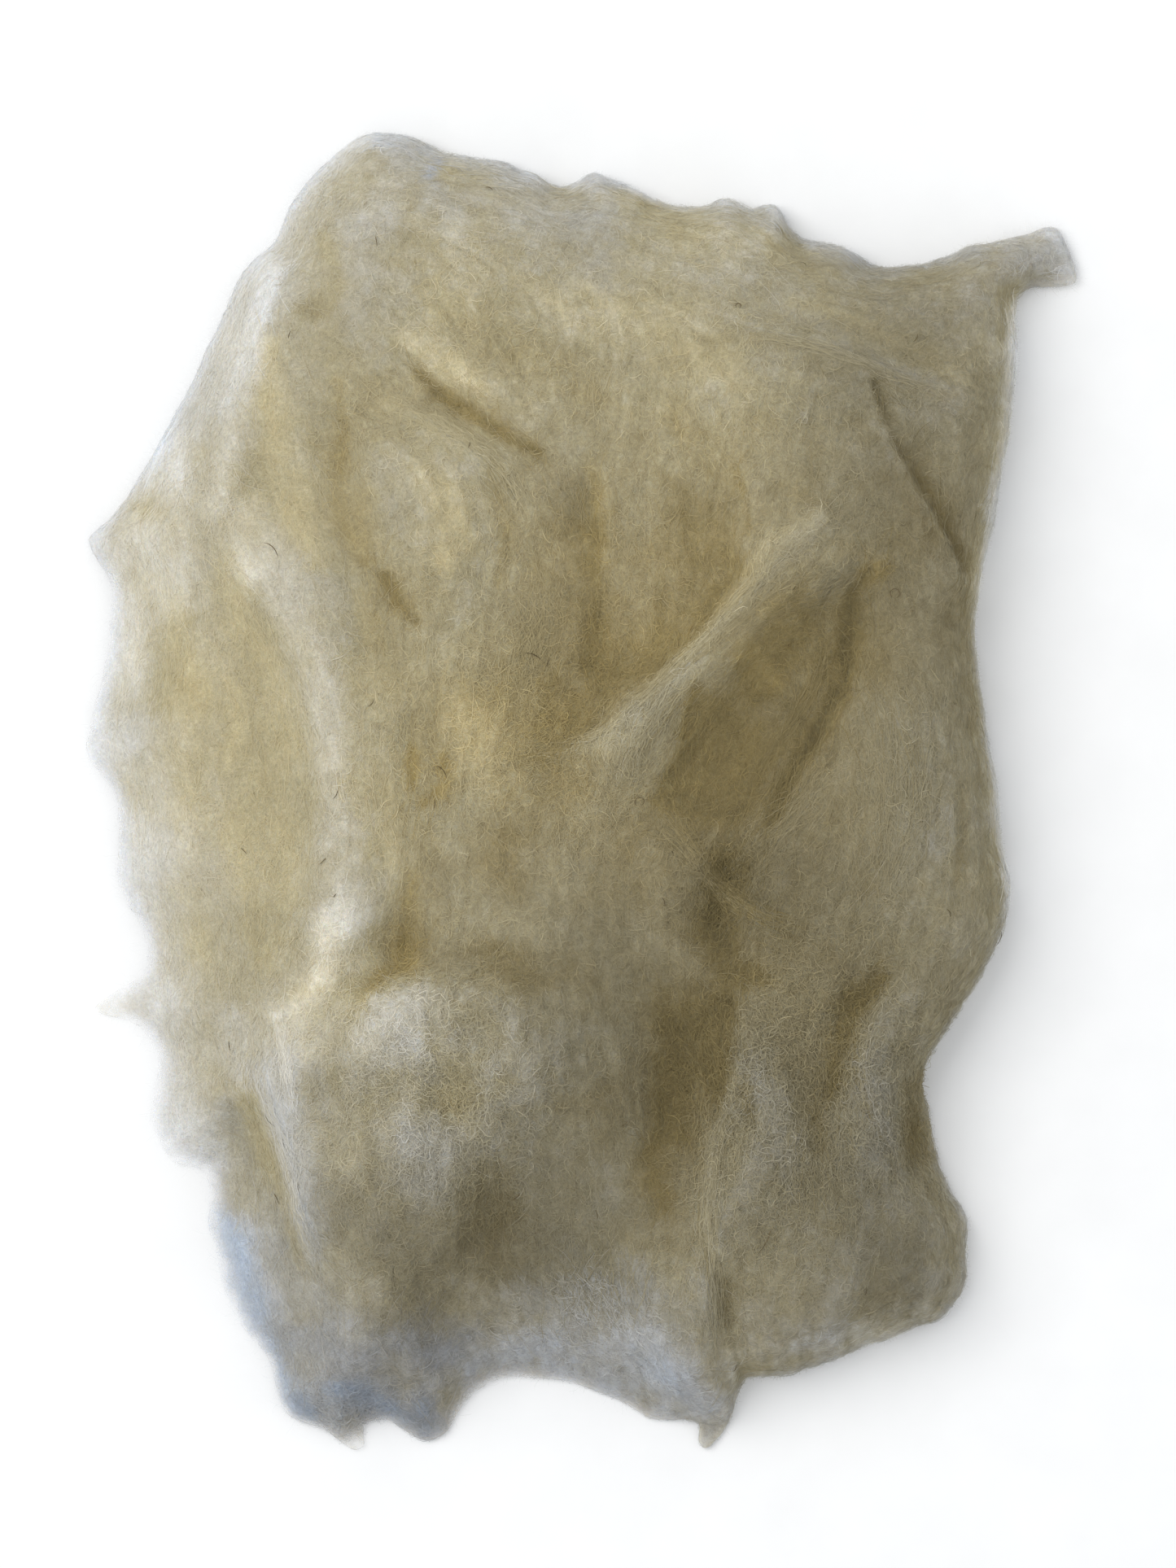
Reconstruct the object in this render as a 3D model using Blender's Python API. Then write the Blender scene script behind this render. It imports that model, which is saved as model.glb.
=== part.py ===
"""A loose batt of carded cream wool lying flat, built as one solid.

The torn edge is a smooth closed curve through a few points for each stretch of it. From its rim the
upper face rises to the loft of the batt, and the mounds, hollows and rolled folds of the fleece are
added from the tables below. The underside is flat, where the batt rests. The tables are in
millimetres, seen from above with +X to the right and +Y up.
"""

import math
from collections import namedtuple

import bmesh
import bpy
import numpy as np
from mathutils import Vector, geometry, noise

MM = 0.001

# Driving dimensions, in millimetres
LOFT = 35.0
LEAST_LOFT = 11.0
LUMP_HEIGHT = 1.6
LUMP_LENGTH = 26.0
RAGGED_LENGTH = 9.0

# How the mesh is spaced, in millimetres
EDGE_STEP = 5.0
CREST_STEP = 5.0
GRID_STEP = 6.6
FLANK_GAP = 6.0
CREST_GAP = 3.6
GRID_GAP = 4.8
EDGE_GAP = 3.6

# Below the torn edge the rim rolls under in two rows, each drawn in and lowered by these shares
# of half the rim's thickness; the last row is the border of the flat underside
RIM_ROWS = ((0.3, 0.35), (1.0, 0.0))
# Share of a fold's length over which it rises at either end
FOLD_TAPER = 0.22
# A place takes the rim's profile from the edge points around it, the nearest by far the most
NEARNESS_POWER = 4
# Blender's noise swings about half as far as its name says
NOISE_SWING = 2.0
LUMP_ROUGHNESS = 0.6
LUMP_SCALING = 2.0
LUMP_LAYERS = 3

WOOL_COLOUR = (0.60, 0.54, 0.39, 1.0)
WOOL_ROUGHNESS = 0.95

# rim: thickness at the torn edge; slope: how far in the batt reaches its full loft;
# bend: 0.5 rises like a quarter circle, 1 like a parabola and 2 like a thin veil;
# ragged: how far the edge strays from the curve
Stretch = namedtuple("Stretch", "name rim slope bend ragged points")
TORN_EDGE = (
    Stretch("top, rolled", 8, 26, 0.6, 1.0, (
        (-65, 204), (-52, 203), (-42, 198), (-28, 197), (-15, 192), (-11, 189), (-2, 189), (3, 193),
        (14, 188), (22, 184), (34, 182), (44, 184), (51, 181), (58, 183), (67, 172), (79, 170),
    )),
    Stretch("top right, with its tab", 6, 22, 0.7, 0.7, (
        (88, 164), (108, 165), (119, 170), (130, 171), (137, 174), (146, 175), (152, 158), (134, 154),
    )),
    Stretch("right side, firm", 10, 20, 0.55, 0.3, (
        (134, 142), (133, 124), (127, 85), (121, 56), (124, 24), (128, 3), (129, -14), (132, -28),
        (129, -41), (122, -56), (112, -71), (105, -83),
    )),
    Stretch("lower right lobe", 7, 24, 0.65, 0.9, (
        (107, -99), (110, -112), (117, -125), (119, -140), (117, -152), (111, -160), (93, -166),
        (68, -177), (50, -178),
    )),
    Stretch("hanging wisp", 4, 24, 1.0, 0.2, (
        (47, -188), (43, -196), (38, -201), (35, -198), (36, -192),
    )),
    Stretch("bottom veil", 3, 50, 1.3, 0.5, (
        (21, -191), (12, -186), (-4, -180), (-26, -179), (-36, -186), (-41, -195), (-48, -198),
        (-56, -194), (-60, -191),
    )),
    Stretch("bottom left tuft", 3, 40, 1.2, 0.8, (
        (-67, -192), (-66, -200), (-70, -201), (-79, -194), (-91, -190), (-95, -181), (-95, -174),
    )),
    Stretch("lower left veil", 3, 50, 1.5, 1.0, (
        (-104, -162), (-112, -145), (-114, -127), (-116, -115), (-125, -112), (-132, -99), (-130, -80),
        (-139, -68), (-150, -65), (-141, -57), (-133, -52),
    )),
    Stretch("left veil", 3, 46, 1.3, 1.2, (
        (-137, -38), (-143, -24), (-142, -1), (-152, 11), (-151, 25), (-146, 45), (-146, 67),
    )),
    Stretch("upper left shoulder", 5, 34, 0.9, 0.4, (
        (-152, 80), (-145, 86), (-129, 111), (-112, 145), (-104, 162), (-94, 171), (-90, 182), (-79, 195),
    )),
)

# height is below zero for a hollow; turn is the angle of radius_x from +X, in degrees
Mound = namedtuple("Mound", "name x y radius_x radius_y turn height")
MOUNDS = (
    Mound("upper shelf", -2, 160, 95, 22, -8, 7),
    Mound("upper left body", -80, 128, 26, 40, -10, 5),
    Mound("centre lobe", -43, 92, 26, 24, -25, 11),
    Mound("upper right body", 70, 116, 30, 20, -15, 5),
    Mound("root of the twisted strand", 70, 74, 20, 14, 34, 9),
    Mound("shoulder above the root", 82, 98, 16, 16, 0, 4),
    Mound("right lobe", 102, 8, 20, 58, 0, 11),
    Mound("foot of the strand", 14, 10, 18, 12, 62, 7),
    Mound("fan below the strand", 12, -8, 20, 16, 58, 4),
    Mound("fluffy lobe", -34, -86, 42, 28, 0, 6),
    Mound("left of the fluffy lobe", -59, -71, 16, 12, 0, 6),
    Mound("right of the fluffy lobe", -17, -82, 15, 16, 0, 7),
    Mound("foot of the fluffy lobe", -49, -105, 14, 12, 0, 5),
    Mound("lower left lobe", -60, -126, 24, 24, 20, 9),
    Mound("lower right body", 80, -132, 30, 30, 0, 4),
    Mound("middle of the right", 66, -52, 22, 20, 0, 5),
    Mound("hollow left of the strand", 20, 46, 16, 20, -20, -9),
    Mound("hollow right of the strand", 54, 24, 31, 15, 62, -17),
    Mound("patch under the shelf", -16, 136, 20, 10, -20, -6),
    Mound("brown middle", -30, 2, 38, 34, 0, -8),
    Mound("deep hollow of the middle", -55, -46, 10, 14, -20, -12),
    Mound("hollow between the lobes", -41, -91, 7, 10, 0, -6),
    Mound("lower hollow", 29, -89, 16, 36, 4, -15),
    Mound("pit", 44, -26, 7, 11, -25, -12),
    Mound("small pit", 42, -42, 5, 8, 0, -8),
    Mound("long hollow of the right", 85, -62, 9, 17, -28, -10),
    Mound("its lower end", 74, -89, 8, 10, 0, -6),
    Mound("thin patch at the notch", 102, -103, 8, 14, 0, -14),
    Mound("left hollow", -102, -4, 15, 42, -4, -9),
    Mound("bank outside it", -120, 0, 12, 60, -6, 3),
    Mound("lower left hollow", -98, -106, 9, 24, 12, -5),
    Mound("dip over the veil", -30, -126, 9, 14, 0, -9),
    Mound("bottom dip", -44, -147, 18, 9, 0, -6),
    Mound("trough of the wisp", 44, -152, 5, 15, 0, -8),
    Mound("thin tab", 147, 166, 15, 16, 0, -30),
)

# Widths are those of the two flanks, on the left and on the right of one who walks along the fold;
# fullness: 2 is rounded like a bell, and more is a fuller roll with steeper sides
Fold = namedtuple("Fold", "name height left_width right_width fullness path")
FOLDS = (
    Fold("left ridge", 10.5, 21, 10, 2.5, (
        (-104, 98), (-92, 72), (-80, 46), (-73, 20), (-72, -5), (-75, -30), (-80, -50), (-90, -66),
    )),
    Fold("lower left edge", 10, 14, 6, 2.0, (
        (-93, -68), (-92, -88), (-89, -105), (-86, -122), (-81, -140),
    )),
    Fold("thin strand beside it", 5, 5, 4, 2.0, (
        (-104, -80), (-98, -92), (-93, -106),
    )),
    Fold("upper crease", -7, 5, 8, 2.0, (
        (-52, 127), (-40, 119), (-28, 113), (-17, 106), (-7, 97),
    )),
    Fold("upper left trough", -4, 7, 7, 2.0, (
        (-75, 126), (-73, 105), (-69, 84), (-61, 66), (-50, 53),
    )),
    Fold("centre trough", -7, 8, 8, 2.0, (
        (2, 112), (3, 95), (6, 66), (4, 40), (4, 22),
    )),
    Fold("basin edge", 8, 18, 6, 2.0, (
        (30, 132), (44, 110), (52, 88), (50, 64),
    )),
    Fold("twisted strand", 13, 8.5, 8.5, 2.6, (
        (84, 82), (73, 74), (62, 66), (51, 55), (39, 44), (28, 34), (20, 23), (14, 10), (10, -2),
    )),
    Fold("right crease", -9, 6, 8, 2.0, (
        (82, 66), (82, 45), (78, 30), (70, 16), (60, 2), (53, -12),
    )),
    Fold("rib beside the crease", 4, 6, 7, 2.0, (
        (75, 60), (74, 42), (70, 28), (62, 14), (52, 1),
    )),
    Fold("upper right layer edge", 7, 4, 15, 2.0, (
        (46, 145), (61, 139), (79, 135), (97, 128), (116, 122), (131, 119),
    )),
    Fold("edge over the outer layer", 8, 5, 14, 2.0, (
        (90, 123), (96, 108), (104, 92), (111, 79), (118, 66), (121, 54),
    )),
    Fold("upper edge of the fluffy lobe", 8, 6, 15, 2.0, (
        (-76, -66), (-48, -58), (-18, -62), (12, -60),
    )),
    Fold("wavy ridge", 8, 9, 6, 2.0, (
        (48, -50), (48, -70), (50, -88), (55, -102), (48, -118), (41, -135), (38, -155), (42, -174),
    )),
    Fold("second wavy ridge", 5, 6, 8, 2.0, (
        (97, -54), (90, -68), (86, -81), (90, -96), (97, -111), (97, -122),
    )),
)


def smooth_line(points, step, closed=False):
    """Points every step or so along a smooth curve through the given points."""
    points = np.asarray(points, float)
    if closed:
        framed = np.vstack([points[-1], points, points[:2]])
    else:
        framed = np.vstack([2 * points[0] - points[1], points, 2 * points[-1] - points[-2]])
    run = []
    for before, start, end, after in zip(framed, framed[1:], framed[2:], framed[3:]):
        length = np.linalg.norm((end - start)[:2])
        for share in np.linspace(0, 1, max(2, round(length / step) + 1))[:-1]:
            run.append(catmull_rom(before, start, end, after, share))
    if not closed:
        run.append(points[-1])
    return np.array(run)


def catmull_rom(before, start, end, after, share):
    """The point at this share of the way from start to end, with knots spread by distance."""
    knots = [0.0]
    for first, second in ((before, start), (start, end), (end, after)):
        knots.append(knots[-1] + math.sqrt(np.linalg.norm((second - first)[:2])))
    now = knots[1] + share * (knots[2] - knots[1])

    def between(low, high, first, second):
        return ((high - now) * first + (now - low) * second) / (high - low)

    one = between(knots[0], knots[1], before, start)
    two = between(knots[1], knots[2], start, end)
    three = between(knots[2], knots[3], end, after)
    left = between(knots[0], knots[2], one, two)
    right = between(knots[1], knots[3], two, three)
    return between(knots[1], knots[2], left, right)


def smoothstep(share):
    share = np.clip(share, 0, 1)
    return share * share * (3 - 2 * share)


def outward_normals(ring):
    """Unit normals of a clockwise ring."""
    along = np.roll(ring, -1, axis=0) - np.roll(ring, 1, axis=0)
    normals = np.column_stack([-along[:, 1], along[:, 0]])
    return normals / np.linalg.norm(normals, axis=1, keepdims=True)


def torn_edge():
    """The ring of the torn edge, and the rim thickness, slope width and bend at each of its points."""
    rows = [
        (x, y, stretch.rim, stretch.slope, stretch.bend, stretch.ragged)
        for stretch in TORN_EDGE
        for x, y in stretch.points
    ]
    curve = smooth_line(rows, EDGE_STEP, closed=True)
    ring, profile, ragged = curve[:, :2], curve[:, 2:5], curve[:, 5]
    stray = np.array([noise.noise(Vector((x, y, 0)) / RAGGED_LENGTH) for x, y in ring])
    return ring + outward_normals(ring) * (NOISE_SWING * ragged * stray)[:, None], profile


def measure(points, line, closed=False):
    """For each point: its distance to the line, how far along the nearest place is, and its side."""
    ends = np.roll(line, -1, axis=0) if closed else line[1:]
    starts = line if closed else line[:-1]
    runs = ends - starts
    lengths = np.linalg.norm(runs, axis=1)
    offsets = points[:, None, :] - starts[None]
    shares = np.clip((offsets * runs).sum(axis=2) / lengths**2, 0, 1)
    gaps = offsets - shares[..., None] * runs
    distances = np.linalg.norm(gaps, axis=2)
    nearest = distances.argmin(axis=1)
    row = np.arange(len(points))
    before = np.concatenate([[0], np.cumsum(lengths)[:-1]])
    along = before[nearest] + shares[row, nearest] * lengths[nearest]
    turn = runs[nearest, 0] * gaps[row, nearest, 1] - runs[nearest, 1] * gaps[row, nearest, 0]
    return distances[row, nearest], along, np.sign(turn)


def inside(points, ring):
    """Which points lie within the ring."""
    x, y = points[:, 0, None], points[:, 1, None]
    start, end = ring, np.roll(ring, -1, axis=0)
    spans = (start[:, 1] > y) != (end[:, 1] > y)
    rise = np.where(end[:, 1] == start[:, 1], 1, end[:, 1] - start[:, 1])
    crossing = start[:, 0] + (y - start[:, 1]) * (end[:, 0] - start[:, 0]) / rise
    return (spans & (x < crossing)).sum(axis=1) % 2 == 1


def mound_height(points, mound):
    turn = math.radians(mound.turn)
    offset = points - (mound.x, mound.y)
    across = offset @ (math.cos(turn), math.sin(turn))
    up = offset @ (-math.sin(turn), math.cos(turn))
    return mound.height * np.exp(-((across / mound.radius_x) ** 2) - (up / mound.radius_y) ** 2)


def fold_height(points, fold):
    line = smooth_line(fold.path, CREST_STEP)
    length = np.linalg.norm(np.diff(line, axis=0), axis=1).sum()
    distance, along, side = measure(points, line)
    width = np.where(side > 0, fold.left_width, fold.right_width)
    taper = FOLD_TAPER * length
    fade = smoothstep(along / taper) * smoothstep((length - along) / taper)
    return fold.height * fade * np.exp(-((distance / width) ** fold.fullness))


def lumps(points):
    """Soft unevenness of the fleece between its folds."""
    places = [Vector((x, y, 0)) / LUMP_LENGTH for x, y in points]
    swell = [noise.fractal(place, LUMP_ROUGHNESS, LUMP_SCALING, LUMP_LAYERS) for place in places]
    return LUMP_HEIGHT * np.array(swell)


def upper_height(points, ring, profile):
    """Height of the upper face above the underside at each point."""
    loft = LOFT + lumps(points)
    for mound in MOUNDS:
        loft += mound_height(points, mound)
    for fold in FOLDS:
        loft += fold_height(points, fold)
    loft = np.maximum(loft, LEAST_LOFT)
    nearness = np.linalg.norm(points[:, None, :] - ring[None], axis=2) ** -float(NEARNESS_POWER)
    nearness /= nearness.sum(axis=1, keepdims=True)
    rim, slope, bend = (nearness @ profile).T
    share = np.clip(measure(points, ring, closed=True)[0] / slope, 0, 1)
    rise = (1 - (1 - share) ** 2) ** bend
    return rim / 2 + (loft - rim / 2) * rise


def grid_points(ring):
    """An even triangular grid over the batt's box."""
    low, high = ring.min(axis=0), ring.max(axis=0)
    row_step = GRID_STEP * math.sqrt(3) / 2
    points = []
    for row, y in enumerate(np.arange(low[1], high[1], row_step)):
        start = low[0] + (row % 2) * GRID_STEP / 2
        points += [(x, y) for x in np.arange(start, high[0], GRID_STEP)]
    return np.array(points)


def crest_points():
    """Points along every fold's crest, and rows beside it down both flanks."""
    crests, flanks = [], []
    for fold in FOLDS:
        line = smooth_line(fold.path, CREST_STEP)
        crests.append(line)
        along = np.gradient(line, axis=0)
        left = np.column_stack([-along[:, 1], along[:, 0]])
        left /= np.linalg.norm(left, axis=1, keepdims=True)
        flanks.append(line + min(fold.left_width, FLANK_GAP) * left)
        flanks.append(line - min(fold.right_width, FLANK_GAP) * left)
    return np.vstack(crests + flanks)


def spread_out(first, others, gap):
    """The first points, and each of the others that keeps this gap to all taken before it."""
    kept = list(first)
    for point in others:
        near = np.linalg.norm(np.array(kept) - point, axis=1).min() if kept else gap
        if near >= gap:
            kept.append(point)
    return np.array(kept)


def interior_points(ring):
    """The points of the folds and the grid that lie well within the torn edge."""
    crests = spread_out([], crest_points(), CREST_GAP)
    points = spread_out(crests, grid_points(ring), GRID_GAP)
    points = points[inside(points, ring)]
    return points[measure(points, ring, closed=True)[0] > EDGE_GAP]


def triangulate(ring, within):
    """Triangles over the ring and the points within it, as rows of indices."""
    points = [Vector(point) for point in np.vstack([ring, within])]
    outline = [list(range(len(ring)))]
    triangles_inside = 1
    least_gap = 1e-6
    result = geometry.delaunay_2d_cdt(points, [], outline, triangles_inside, least_gap)
    if len(result[0]) != len(points):
        raise ValueError("the torn edge crosses itself")
    source = [origin[0] for origin in result[3]]
    return [[source[index] for index in face] for face in result[2]]


def add_row(shaped, flat, heights):
    return [shaped.verts.new((x * MM, y * MM, z * MM)) for (x, y), z in zip(flat, heights)]


def add_upper_face(shaped, ring, profile):
    """The upper face, from the torn edge inwards. Returns the vertices of the torn edge."""
    within = interior_points(ring)
    edge = add_row(shaped, ring, profile[:, 0] / 2)
    vertices = edge + add_row(shaped, within, upper_height(within, ring, profile))
    for face in triangulate(ring, within):
        shaped.faces.new([vertices[index] for index in face])
    return edge


def add_underside(shaped, edge, ring, profile):
    """The rim rolled under the torn edge, row by row, and the flat face that it borders."""
    half = profile[:, 0] / 2
    for inset, height in RIM_ROWS:
        inner = ring - outward_normals(ring) * (inset * half)[:, None]
        row = add_row(shaped, inner, height * half)
        for index in range(len(ring)):
            shaped.faces.new((edge[index - 1], edge[index], row[index], row[index - 1]))
        edge = row
    shaped.faces.new(edge)


def centre(shaped):
    """Moves the middle of the box over the origin, with the underside at height 0."""
    flat = np.array([vertex.co[:2] for vertex in shaped.verts])
    middle = (flat.min(axis=0) + flat.max(axis=0)) / 2
    bmesh.ops.translate(shaped, verts=shaped.verts, vec=(-middle[0], -middle[1], 0))


def wool_material():
    material = bpy.data.materials.new("carded_wool")
    material.use_nodes = True
    shader = material.node_tree.nodes["Principled BSDF"]
    shader.inputs["Base Color"].default_value = WOOL_COLOUR
    shader.inputs["Roughness"].default_value = WOOL_ROUGHNESS
    shader.inputs["Metallic"].default_value = 0.0
    return material


def add_batt():
    ring, profile = torn_edge()
    shaped = bmesh.new()
    edge = add_upper_face(shaped, ring, profile)
    add_underside(shaped, edge, ring, profile)
    centre(shaped)
    bmesh.ops.triangulate(shaped, faces=shaped.faces)
    bmesh.ops.recalc_face_normals(shaped, faces=shaped.faces)
    mesh = bpy.data.meshes.new("wool_batt")
    shaped.to_mesh(mesh)
    shaped.free()
    mesh.shade_smooth()
    mesh.materials.append(wool_material())
    batt = bpy.data.objects.new("wool_batt", mesh)
    bpy.context.scene.collection.objects.link(batt)


def main():
    for obj in list(bpy.data.objects):
        bpy.data.objects.remove(obj, do_unlink=True)
    add_batt()


if __name__ == "__main__":
    main()
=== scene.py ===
"""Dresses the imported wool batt: its fleece, carded and curly fibres, drawn-out locks, wisps at the
torn edges, a few dark kemp hairs, and a pale floor in soft daylight.

Tables and shapes are in millimetres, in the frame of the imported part: seen from above, +X is right,
+Y is up and +Z comes towards the eye. Only the finished meshes are turned into metres.
"""

import functools
import math
from collections import namedtuple

import bpy
import numpy as np
from bpy.props import FloatProperty, FloatVectorProperty, IntProperty, PointerProperty
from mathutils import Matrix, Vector
from mathutils.bvhtree import BVHTree


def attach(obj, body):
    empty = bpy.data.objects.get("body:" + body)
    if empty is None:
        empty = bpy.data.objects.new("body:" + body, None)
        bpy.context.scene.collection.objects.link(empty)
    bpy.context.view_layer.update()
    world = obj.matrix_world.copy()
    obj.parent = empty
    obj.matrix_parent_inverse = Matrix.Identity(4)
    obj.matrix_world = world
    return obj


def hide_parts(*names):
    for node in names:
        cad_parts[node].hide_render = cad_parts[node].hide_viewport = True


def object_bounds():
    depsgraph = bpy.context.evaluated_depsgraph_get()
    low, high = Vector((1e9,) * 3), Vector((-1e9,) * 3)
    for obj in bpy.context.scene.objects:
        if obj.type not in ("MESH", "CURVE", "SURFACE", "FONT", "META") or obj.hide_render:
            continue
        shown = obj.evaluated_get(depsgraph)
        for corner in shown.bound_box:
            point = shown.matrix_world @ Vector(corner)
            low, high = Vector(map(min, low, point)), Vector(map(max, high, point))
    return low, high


bl_info = {
    "name": "Carded wool batt",
    "version": (1, 0, 0),
    "blender": (4, 5, 0),
    "location": "3D View > Sidebar > Wool",
    "description": "Dresses a packed wool batt with its fleece, fibres, floor and daylight",
    "category": "Object",
}

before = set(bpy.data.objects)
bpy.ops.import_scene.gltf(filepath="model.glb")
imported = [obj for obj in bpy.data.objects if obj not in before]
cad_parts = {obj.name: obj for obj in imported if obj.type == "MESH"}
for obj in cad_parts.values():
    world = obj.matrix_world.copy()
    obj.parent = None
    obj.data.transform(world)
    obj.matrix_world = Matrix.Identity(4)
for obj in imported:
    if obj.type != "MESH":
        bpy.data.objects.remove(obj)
CAD_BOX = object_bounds()

MM = 0.001
BODY = "root"
NODE = "wool_batt"

# The photo's frame in pixels, and where its middle lies over the batt
PHOTO_SIZE = (1445, 1927)
PHOTO_MIDDLE = (2.1, 2.4)

# How the carded fibres lie; order is how strictly they keep to the path
Flow = namedtuple("Flow", "name reach order path")
FLOWS = (
    Flow("twisted strand", 12, 3.0, (
        (78, 75), (62, 60), (51, 49), (40, 40), (31, 30), (24, 20), (18, 10), (11, -2),
    )),
    Flow("left ridge", 20, 1.4, (
        (-104, 96), (-92, 70), (-81, 44), (-74, 18), (-74, -7), (-77, -32), (-80, -52), (-90, -68),
    )),
    Flow("lower left edge", 14, 1.2, ((-93, -70), (-92, -90), (-89, -107), (-86, -124), (-81, -142))),
    Flow("sweep over the centre lobe", 18, 0.9, (
        (-70, 130), (-50, 118), (-30, 105), (-10, 90), (0, 74),
    )),
    Flow("centre", 26, 0.6, ((-20, 75), (-25, 50), (-32, 20), (-36, -10), (-40, -40))),
    Flow("trough right of the centre", 16, 0.9, ((12, 110), (8, 85), (6, 60), (5, 35), (4, 15))),
    Flow("basin left of the root", 18, 0.8, ((58, 112), (50, 92), (46, 72))),
    Flow("right lobe", 26, 0.9, ((84, 62), (92, 40), (96, 15), (93, -12), (85, -35), (78, -50))),
    Flow("hollow beside the strand", 12, 1.0, ((72, 52), (66, 35), (54, 15), (40, -5))),
    Flow("right edge", 14, 1.0, (
        (132, 140), (128, 100), (120, 60), (122, 20), (128, -20), (125, -50), (108, -80),
    )),
    Flow("upper shelf", 20, 0.6, ((-90, 185), (-50, 185), (-10, 175), (40, 165), (90, 155), (130, 150))),
    Flow("upper right layer edge", 8, 1.2, (
        (46, 143), (61, 137), (79, 133), (97, 126), (116, 120), (131, 117),
    )),
    Flow("upper left edge", 18, 0.6, ((-100, 165), (-115, 135), (-132, 105), (-148, 80))),
    Flow("left veil", 20, 0.5, ((-145, 60), (-142, 20), (-135, -20), (-128, -60), (-122, -100))),
    Flow("fluffy lobe", 18, 0.3, ((-60, -60), (-50, -90), (-55, -120), (-60, -150))),
    Flow("wavy ridge", 12, 1.2, (
        (48, -52), (48, -72), (50, -90), (55, -104), (48, -120), (41, -137), (38, -157), (42, -176),
    )),
    Flow("lower right", 20, 0.6, ((95, -60), (90, -90), (92, -120), (85, -150))),
    Flow("dip over the bottom veil", 18, 0.6, ((-30, -110), (-30, -150), (-20, -175))),
    Flow("thin tab", 12, 1.2, ((112, 166), (150, 166))),
)
# Where no path is near, the fibres lean this way, in degrees, with this little order
REST_TURN = 95.0
REST_ORDER = 0.15

# Stray dark hairs. turn is the way one lies, in degrees, and curl how far it turns along its length
Kemp = namedtuple("Kemp", "x y length turn curl")
KEMPS = (
    Kemp(-92, 71, 7, 95, 70), Kemp(-62, 166, 3, 80, 30), Kemp(-89, 138, 2.5, 60, 20),
    Kemp(-27, 183, 3, 100, 40), Kemp(-65, 26, 3, 20, 60), Kemp(-12, 40, 6, 130, 50),
    Kemp(-11, 38, 3.5, 60, 20), Kemp(18, -4, 8, 0, 330), Kemp(-75, -2, 4, 30, 60),
    Kemp(-41, 4, 6, 100, 60), Kemp(-45, -5, 3, 70, 20), Kemp(-102, -19, 2.5, 120, 30),
    Kemp(-79, -22, 3, 10, 40), Kemp(-75, -32, 1.5, 40, 10), Kemp(-107, -79, 3, 60, 50),
    Kemp(96, 59, 8, 0, 320), Kemp(127, -47, 5, 60, 30), Kemp(112, -66, 3, 110, 40),
    Kemp(50, -83, 3, 30, 70), Kemp(86, -153, 3, 70, 30), Kemp(46, -177, 3, 80, 20),
    Kemp(54, -140, 8, 40, 40), Kemp(-92, -126, 5, 80, 90), Kemp(-21, -124, 4, 20, 40),
    Kemp(-35, 104, 2.5, 50, 30), Kemp(5, -130, 3, 75, 50), Kemp(101, 137, 3, 30, 60),
    Kemp(12, -102, 3, 20, 30), Kemp(48, 147, 4, 10, 300), Kemp(36, -24, 3, 140, 60),
    Kemp(25, -35, 3, 80, 50), Kemp(112, -38, 3, 100, 40),
)

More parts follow.
